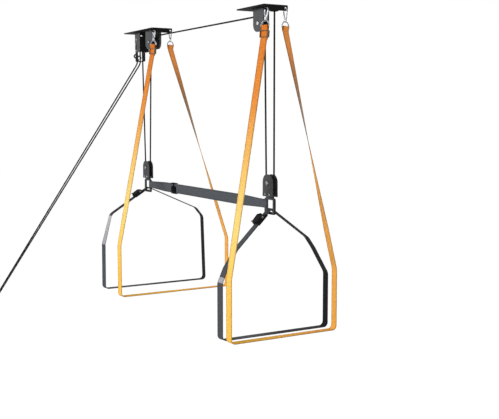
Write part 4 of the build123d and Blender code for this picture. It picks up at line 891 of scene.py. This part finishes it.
# How blunt a bead's ends are, and the least share of its section there
BEAD_BLUNT = 8
BEAD_LEAST = 0.02
BEAD_SIDES = 12
s = np.linspace(0.0, BEAD_LENGTH, BEAD_STEPS)
end_round = np.sqrt(np.clip(1.0 - (2 * s / BEAD_LENGTH - 1.0) ** BEAD_BLUNT, BEAD_LEAST, 1.0))
ripples = 1.0 - RIPPLE_DEPTH + RIPPLE_DEPTH * np.abs(np.sin(math.pi * s / BEAD_RIPPLE))
radius = (BEAD_R * end_round * ripples)[:, None]
a = np.linspace(0.0, 2 * math.pi, BEAD_SIDES, endpoint=False)[None]
bead_shape = np.stack([s[:, None] + 0 * a, radius * np.cos(a), radius * np.sin(a)], axis=-1)
around = np.linspace(0.0, 1.0, BEAD_SIDES + 1)
beads = 0
for node in WELDED:
    low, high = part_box(node)
    for side, line_y in (("near", low.y + BEAD_SUNK), ("far", high.y - BEAD_SUNK)):
        for place, start in (("back", low.x + BEAD_IN), ("front", high.x - BEAD_IN - BEAD_LENGTH)):
            points = bead_shape + (start, line_y, high.z - BEAD_SUNK)
            bead = grid_piece(node + "_weld_" + side + "_" + place, points, around, s)
            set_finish(bead, "black_steel")
            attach(bead, "ceiling_frame")
            beads += 1
print("weld beads", beads)

# %% [markdown]
# ## Finishes
# Every finish starts from one shader whose colour and bump come from node groups. A group is one effect
# that a finish can use: the weave of webbing, the braid of rope, the grain of a coated surface, and wear
# on edges.


# %% Small helpers for nodes
def set_inputs(tree, node, inputs):
    """Each input, by name or place, takes a number, a colour of three numbers or a link from a socket."""
    for label, value in inputs.items():
        if isinstance(value, tuple):
            node.inputs[label].default_value = (*value, 1.0)
        elif isinstance(value, (int, float)):
            node.inputs[label].default_value = value
        else:
            tree.links.new(value, node.inputs[label])


def new_node(tree, kind, inputs, **settings):
    """Shader node of a kind, with its settings made first and then its inputs."""
    node = tree.nodes.new("ShaderNode" + kind)
    for label, value in settings.items():
        setattr(node, label, value)
    set_inputs(tree, node, inputs)
    return node


def value_node(tree, operation, *values):
    """One math step on numbers or sockets."""
    return new_node(tree, "Math", dict(enumerate(values)), operation=operation).outputs[0]


def ripple(tree, value):
    """The size of sin(pi value), which swells once for each whole number."""
    swing = value_node(tree, "MULTIPLY", value, math.pi)
    return value_node(tree, "ABSOLUTE", value_node(tree, "SINE", swing))


def mix_colour(tree, share, first, second):
    """Colour between two colours or sockets; 6, 7 and 2 are the places of the node's colour sockets."""
    return new_node(tree, "Mix", {0: share, 6: first, 7: second}, data_type="RGBA").outputs[2]


def map_range(tree, value, first, last):
    """Share of the way from first to last, kept between 0 and 1; each is a number or a socket."""
    inputs = {"Value": value, "From Min": first, "From Max": last}
    return new_node(tree, "MapRange", inputs).outputs["Result"]


def new_group(name, inputs, outputs):
    """Empty shader group; inputs gives each name a start value, or None for a vector."""
    tree = bpy.data.node_groups.new(name, "ShaderNodeTree")
    for label, start in inputs.items():
        kind = "NodeSocketVector" if start is None else "NodeSocketFloat"
        socket = tree.interface.new_socket(label, in_out="INPUT", socket_type=kind)
        if start is not None:
            socket.default_value = start
    for label in outputs:
        tree.interface.new_socket(label, in_out="OUTPUT", socket_type="NodeSocketFloat")
    return tree, tree.nodes.new("NodeGroupInput").outputs, tree.nodes.new("NodeGroupOutput")


def place_group(tree, group, **inputs):
    """Outputs of a group set in a material."""
    return new_node(tree, "Group", inputs, node_tree=group).outputs


def new_finish(name):
    """Material with one Principled shader; returns the material, its tree and the shader."""
    finish = bpy.data.materials.new(name)
    finish.use_nodes = True
    tree = finish.node_tree
    return finish, tree, tree.nodes["Principled BSDF"]


def dress(tree, shader, colour, rough, sheen, height, strength, distance):
    """Colour, roughness and sheen of a shader, and its normal bent by a height."""
    bent = new_node(tree, "Bump", {"Strength": strength, "Distance": distance, "Height": height})
    set_inputs(tree, shader, {"Base Color": colour, "Roughness": rough, "Specular IOR Level": sheen,
                              "Normal": bent.outputs["Normal"]})


# %% Weave, braid, grain and wear
# Power that flattens the threads, distances from the middle where the selvedge starts and is full, as
# shares of the width, and the bend at which an edge is all worn
THREAD_FLAT = 0.6
RIM_FROM = 0.30
RIM_FULL = 0.47
WORN_FULL = 0.16

weave, given, result = new_group("webbing_weave", {"Cloth": None, "Columns": 14.0, "Pitch": 0.0024},
                                 ("Height", "Thread", "Selvedge"))
step = partial(value_node, weave)
cloth = new_node(weave, "SeparateXYZ", {0: given["Cloth"]}).outputs
warp = step("MULTIPLY", cloth["X"], given["Columns"])
warp_number = step("FLOOR", warp)
weft = step("ADD", step("DIVIDE", cloth["Y"], given["Pitch"]), step("MULTIPLY", warp_number, 0.5))
swell = step("POWER", step("MULTIPLY", ripple(weave, warp), ripple(weave, weft)), THREAD_FLAT)
from_middle = step("ABSOLUTE", step("SUBTRACT", cloth["X"], 0.5))
thread_id = new_node(weave, "CombineXYZ", {"X": warp_number, "Y": step("FLOOR", weft)}).outputs[0]
chance = new_node(weave, "TexWhiteNoise", {"Vector": thread_id}, noise_dimensions="2D").outputs["Value"]
rim = map_range(weave, from_middle, RIM_FROM, RIM_FULL)
set_inputs(weave, result, {"Height": swell, "Thread": chance, "Selvedge": rim})

braid, given, result = new_group("rope_braid", {"Cloth": None, "Strands": 8.0, "Turn": 0.030},
                                 ("Height", "Fleck"))
step = partial(value_node, braid)
cloth = new_node(braid, "SeparateXYZ", {0: given["Cloth"]}).outputs
round_it = step("MULTIPLY", cloth["X"], given["Strands"])
advance = step("MULTIPLY", step("DIVIDE", cloth["Y"], given["Turn"]), given["Strands"])
# Strands of the right hand and of the left hand; one lies on top where the other lies under
strands = [step(way, round_it, advance) for way in ("ADD", "SUBTRACT")]
on_top = step("FLOORED_MODULO", step("ADD", *[step("FLOOR", strand) for strand in strands]), 2.0)
shown = {"Height": [], "Fleck": []}
for strand, share in zip(strands, (on_top, step("SUBTRACT", 1.0, on_top))):
    number = step("FLOORED_MODULO", step("FLOOR", strand), given["Strands"])
    shown["Height"].append(step("MULTIPLY", ripple(braid, strand), share))
    shown["Fleck"].append(step("MULTIPLY", step("LESS_THAN", number, 0.5), share))
set_inputs(braid, result, {label: step("ADD", *pair) for label, pair in shown.items()})

grain, given, result = new_group("surface_grain", {"Place": None, "Fine": 900.0, "Broad": 28.0},
                                 ("Height", "Tone"))
for label, scale, detail in (("Height", "Fine", 3.0), ("Tone", "Broad", 5.0)):
    inputs = {"Vector": given["Place"], "Scale": given[scale], "Detail": detail}
    set_inputs(grain, result, {label: new_node(grain, "TexNoise", inputs).outputs["Fac"]})

wear, given, result = new_group("edge_wear", {"Tone": 0.5, "Reach": 0.0008, "Start": 0.06}, ("Worn",))
step = partial(value_node, wear)
softened = new_node(wear, "Bevel", {"Radius": given["Reach"]}, samples=4).outputs[0]
normal = new_node(wear, "NewGeometry", {}).outputs["Normal"]
alike = new_node(wear, "VectorMath", {0: softened, 1: normal}, operation="DOT_PRODUCT").outputs["Value"]
patchy = step("MULTIPLY", step("SUBTRACT", 1.0, alike), given["Tone"])
set_inputs(wear, result, {"Worn": map_range(wear, patchy, given["Start"], WORN_FULL)})
print("groups", [g.name for g in bpy.data.node_groups])

# %% Woven and braided finishes
# Height of the bump in metres and its strength on webbing and rope
CLOTH_BUMP = 0.0003
WEAVE_BUMP = 0.7
BRAID_BUMP = 0.45
CLOTH_SHEEN = 0.04
# A thread's tone: its least, and what its height and its own chance add; by the height the gaps between threads
# are painted in shade
TONE_LEAST = 0.62
TONE_HEIGHT = 0.45
TONE_CHANCE = 0.22
ROPE_DEEP = (0.003, 0.003, 0.0035)
ROPE_PALE = (0.011, 0.011, 0.012)
ROPE_FLECK = (0.30, 0.30, 0.31)
ROPE_ROUGH = 0.65


def cloth_map(tree):
    """The UV map that rope and webbing carry."""
    return new_node(tree, "UVMap", {}, uv_map="cloth").outputs[0]


def row_tone_mask(tree):
    """The value that each row of a rope or a band carries."""
    return new_node(tree, "Attribute", {}, attribute_name="fade").outputs["Fac"]


def colour_ramp(tree, share, stops):
    """Colour read from a list of (place, colour) stops."""
    node = new_node(tree, "ValToRGB", {"Fac": share})
    while len(node.color_ramp.elements) < len(stops):
        node.color_ramp.elements.new(0.5)
    for element, (place, colour) in zip(node.color_ramp.elements, stops):
        element.position = place
        element.color = (*colour, 1.0)
    return node.outputs["Color"]


def webbing_finish(name, stops, rough, selvedge_shade):
    """Woven band: a colour read from a ramp along the piece, which holds painted light and shade, its threads
    uneven, its gaps and its selvedge painted darker as shade, and a bump from the weave."""
    finish, tree, shader = new_finish(name)
    step = partial(value_node, tree)
    woven = place_group(tree, weave, Cloth=cloth_map(tree))
    colour = colour_ramp(tree, row_tone_mask(tree), stops)
    height = step("MULTIPLY", woven["Height"], TONE_HEIGHT)
    tone = step("ADD", height, step("MULTIPLY", woven["Thread"], TONE_CHANCE))
    tone = step("SUBTRACT", step("ADD", tone, TONE_LEAST), step("MULTIPLY", woven["Selvedge"], selvedge_shade))
    shade = new_node(tree, "VectorMath", {0: colour, "Scale": tone}, operation="SCALE").outputs["Vector"]
    dress(tree, shader, shade, rough, CLOTH_SHEEN, woven["Height"], WEAVE_BUMP, CLOTH_BUMP)
    return finish


# Tones that light gives the straps, painted in. Down the near branches: deep at the top, painted pale where the
# light falls strongest, then yellow. On up the far ones: bright at the foot, painted brown shade where the band
# shows its shaded side, orange at the top
ORANGE = [(0.0, (0.60, 0.150, 0.016)), (0.20, (0.72, 0.25, 0.042)), (0.36, (0.86, 0.53, 0.140)),
          (0.46, (0.89, 0.63, 0.190)), (0.60, (0.94, 0.545, 0.086)), (0.70, (0.94, 0.52, 0.070)),
          (0.76, (1.00, 0.47, 0.085)), (0.894, (1.00, 0.46, 0.120)), (0.906, (0.28, 0.17, 0.090)),
          (0.938, (0.33, 0.14, 0.032)), (0.955, (0.56, 0.21, 0.044)), (0.972, (1.00, 0.35, 0.070)),
          (1.0, (1.00, 0.35, 0.075))]
# Down the slate ramp: near-black at 0 as painted shade on the far branches, slate for the spacer and the near
# branches, pale at 1 as a painted highlight where a near branch leans back
SLATE = [(0.0, (0.009, 0.009, 0.010)), (0.80, (0.073, 0.079, 0.089)), (1.0, (0.45, 0.45, 0.47))]
orange_webbing = webbing_finish("orange_webbing", ORANGE, 0.65, 0.44)
black_webbing = webbing_finish("black_webbing", SLATE, 0.60, 0.25)

rope_finish, tree, shader = new_finish("flecked_rope")
braided = place_group(tree, braid, Cloth=cloth_map(tree))
# The grooves between strands are painted darker as shade, the strands' tops paler
dark = mix_colour(tree, braided["Height"], ROPE_DEEP, ROPE_PALE)
flecks = value_node(tree, "MULTIPLY", braided["Fleck"], row_tone_mask(tree))
flecked = mix_colour(tree, flecks, dark, ROPE_FLECK)
dress(tree, shader, flecked, ROPE_ROUGH, CLOTH_SHEEN, braided["Height"], BRAID_BUMP, CLOTH_BUMP)

# %% Coated steel, zinc, nylon and plastic
GRAIN_BUMP = 0.0002
# Spread of the roughness about its middle
ROUGH_SPREAD = 0.22
# Sizes of the normal's Y between which a face turns from painted shade to its lighter, painted lit colours
LIT_FACE_FROM = 0.80
LIT_FACE_FULL = 0.97
# Kinds of surface: metallic share, specular level and fineness of the grain
COAT = (0.0, 0.03, 1400.0)
METAL = (1.0, 0.50, 700.0)
THREAD = (0.0, 0.15, 2600.0)
NYLON = (0.0, 0.10, 500.0)
PLASTIC = (0.0, 0.0, 500.0)
PAINTED_SHADE = (0.012, 0.012, 0.013)
# Each finish: deep, pale and worn colour, roughness, kind and bump, and a colour under if it has one, which is
# painted shade on the faces that don't look along Y
HARD = {
    "black_powder_coat": ((0.005, 0.005, 0.006), (0.015, 0.015, 0.016), (0.05, 0.05, 0.053),
                          0.62, COAT, 0.30),
    "rubbed_powder_coat": ((0.062, 0.063, 0.067), (0.120, 0.122, 0.128), (0.15, 0.15, 0.155),
                           0.68, COAT, 0.35, PAINTED_SHADE),
    "rubbed_block_coat": ((0.040, 0.041, 0.044), (0.092, 0.094, 0.098), (0.11, 0.11, 0.115),
                          0.68, COAT, 0.35, PAINTED_SHADE),
    "blackened_pin": ((0.060, 0.060, 0.063), (0.260, 0.260, 0.270), (0.45, 0.45, 0.46), 0.24, METAL, 0.05),
    "smoked_steel": ((0.060, 0.044, 0.030), (0.170, 0.125, 0.085), (0.30, 0.24, 0.18), 0.36, METAL, 0.05),
    "orange_thread": ((0.50, 0.130, 0.018), (0.86, 0.290, 0.050), (0.86, 0.29, 0.05), 0.70, THREAD, 0.50),
    "slate_thread": ((0.050, 0.051, 0.055), (0.130, 0.132, 0.140), (0.13, 0.132, 0.14), 0.70, THREAD, 0.50),
    "bright_zinc": ((0.09, 0.094, 0.103), (0.40, 0.41, 0.435), (0.60, 0.60, 0.62), 0.26, METAL, 0.08),
    "dull_zinc": ((0.06, 0.062, 0.068), (0.22, 0.225, 0.24), (0.34, 0.34, 0.35), 0.58, METAL, 0.12),
    "moulded_nylon": ((0.014, 0.014, 0.016), (0.030, 0.030, 0.033), (0.05, 0.05, 0.054), 0.48, NYLON, 0.10),
    "slider_plastic": ((0.004, 0.004, 0.005), (0.012, 0.012, 0.013), (0.03, 0.03, 0.032),
                       0.40, PLASTIC, 0.06),
}


def surface_place(tree, label):
    """Place on a piece, or its normal, in the piece's own axes."""
    return new_node(tree, "TexCoord", {}).outputs[label]


def lit_faces_mask(tree):
    """Mask of the flat faces that look along Y, painted lighter as lit faces, from the size of the normal's Y."""
    normal = new_node(tree, "SeparateXYZ", {0: surface_place(tree, "Normal")}).outputs
    return map_range(tree, value_node(tree, "ABSOLUTE", normal["Y"]), LIT_FACE_FROM, LIT_FACE_FULL)


def hard_finish(name, deep, pale, wear_and_painted_light, rough, kind, bump_by, under=None):
    """Hard surface: tone between two colours, bare edges, and a fine grain in bump and roughness.
    Where a colour under is given, only the faces that look along Y take the two colours, painted lighter as lit;
    the rest take that colour as painted shade."""
    finish, tree, shader = new_finish(name)
    metallic, specular, fine = kind
    grainy = place_group(tree, grain, Place=surface_place(tree, "Object"), Fine=fine)
    edges = place_group(tree, wear, Tone=grainy["Tone"])
    colour = mix_colour(tree, grainy["Tone"], deep, pale)
    if under is not None:
        # Painted light and shade: faces along Y keep the lighter colours, the others take the colour under as
        # painted shade
        colour = mix_colour(tree, lit_faces_mask(tree), under, colour)
    spread = value_node(tree, "MULTIPLY", grainy["Tone"], ROUGH_SPREAD)
    bare = mix_colour(tree, edges["Worn"], colour, wear_and_painted_light)
    roughness = value_node(tree, "ADD", spread, rough - ROUGH_SPREAD / 2)
    dress(tree, shader, bare, roughness, specular, grainy["Height"], bump_by, GRAIN_BUMP)
    set_inputs(tree, shader, {"Metallic": metallic})
    return finish


hard = {name: hard_finish(name, *values) for name, values in HARD.items()}
finishes = {"black_steel": hard["black_powder_coat"], "zinc_steel": hard["bright_zinc"],
            "nylon": hard["moulded_nylon"], "rope": rope_finish, "black_webbing": black_webbing,
            "orange_webbing": orange_webbing, "slider_plastic": hard["slider_plastic"]}
PINS = ["brake_roller_pin", "guide_rivets", "lock_clips", "yoke_axles"]
# Block cheeks and hangers: their faces along Y are painted lighter as lit, the rest painted in shade
LIT_FACE_PARTS = []
for end in ENDS:
    PINS += [end + "_block_axle", end + "_hanger_rivets", end + "_buckle_pin"]
    LIT_FACE_PARTS += [end + "_block_cheek_near", end + "_block_cheek_far", end + "_hanger"]
own_finish = {"strap_adjusters": hard["smoked_steel"], "brake_anvil": hard["dull_zinc"],
              **dict.fromkeys(PINS, hard["blackened_pin"]),
              **dict.fromkeys(WELDED, hard["rubbed_powder_coat"]),
              **dict.fromkeys(LIT_FACE_PARTS, hard["rubbed_block_coat"])}
thread = {"orange_webbing": hard["orange_thread"], "black_webbing": hard["slate_thread"]}

# %% Give every piece its finish
slot_of = {part["node"]: part["material_slot"] for part in frame["record"]["subparts"]}
for name, node in nodes.items():
    node.data.materials.clear()
    node.data.materials.append(own_finish.get(name, finishes[slot_of[name]]))
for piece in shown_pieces():
    if "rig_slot" in piece:
        finish = finishes[piece["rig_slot"]]
        if "_tack" in piece.name or "_seam_" in piece.name:
            finish = thread[piece["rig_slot"]]
        if "_weld_" in piece.name:
            finish = hard["rubbed_powder_coat"]
        piece.data.materials.clear()
        piece.data.materials.append(finish)

# %% [markdown]
# ## Floor and light
# A pale floor lies a room's height below the ceiling. The light is large and soft, as in a studio, and
# its strongest lamps stand on the near side and behind. The white around the object is mostly what the
# camera and shiny steel see of the world.

# %% Floor
FLOOR_Z = -2.4
FLOOR_HALF = 14.0
FLOOR_GLOW = 0.88
WHITE = (1.0, 1.0, 1.0)
FLOOR_GREY = (0.40, 0.40, 0.40)


def seen_rays(tree, *labels):
    """1 for the rays of the named kinds, 0 for the others."""
    kinds = new_node(tree, "LightPath", {}).outputs
    seen = kinds[labels[0]]
    for label in labels[1:]:
        seen = value_node(tree, "MAXIMUM", seen, kinds[label])
    return seen


square = np.array([(-1, -1), (1, -1), (1, 1), (-1, 1)]) * FLOOR_HALF
floor = new_piece("floor", np.c_[square, np.full(4, FLOOR_Z)], [(0, 1, 2, 3)])
floor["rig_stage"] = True
pale_floor, tree, shader = new_finish("pale_floor")
glow = value_node(tree, "MULTIPLY", seen_rays(tree, "Is Camera Ray", "Is Glossy Ray"), FLOOR_GLOW)
set_inputs(tree, shader, {"Base Color": FLOOR_GREY, "Roughness": 0.9, "Emission Color": WHITE,
                          "Emission Strength": glow})
# Seen from underneath, the floor lets the eye through to the object
underside = new_node(tree, "NewGeometry", {}).outputs["Backfacing"]
clear = new_node(tree, "BsdfTransparent", {}).outputs["BSDF"]
side_seen = new_node(tree, "MixShader", {0: underside, 1: shader.outputs["BSDF"], 2: clear}).outputs["Shader"]
set_inputs(tree, tree.nodes["Material Output"], {"Surface": side_seen})
floor.data.materials.append(pale_floor)

# %% Lamps and world
CENTRE = Vector((0.40, 0.0, -0.45))
# Each lamp's place, size and power
LAMPS = {"key": ((1.0, -3.6, 0.4), 2.0, 115.0), "fill": ((-2.3, -2.1, -0.1), 0.9, 22.0),
         "side": ((4.0, -0.6, -0.4), 2.0, 50.0), "top": ((0.4, 0.6, 2.6), 3.0, 20.0),
         "back": ((-0.8, 3.6, 0.4), 2.4, 100.0)}
# Strength of the world as a light, and what is added where it is seen
WORLD_LIGHT = 0.20
WORLD_SEEN = 0.80
for name, (spot, size, power) in LAMPS.items():
    lamp = bpy.data.lights.new(name, "AREA")
    lamp.size = size
    lamp.energy = power
    aimed(name, lamp, spot, CENTRE - Vector(spot))

world = bpy.data.worlds.new("studio")
bpy.context.scene.world = world
world.use_nodes = True
tree = world.node_tree
seen = seen_rays(tree, "Is Camera Ray", "Is Glossy Ray", "Is Transmission Ray")
strength = value_node(tree, "ADD", value_node(tree, "MULTIPLY", seen, WORLD_SEEN), WORLD_LIGHT)
set_inputs(tree, tree.nodes["Background"], {"Color": WHITE, "Strength": strength})
bpy.context.scene.view_settings.view_transform = "Standard"
print("lamps", len(LAMPS))

# %% The object's box
low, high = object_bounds()
print("visual box", [round(x, 4) for x in low], [round(x, 4) for x in high])
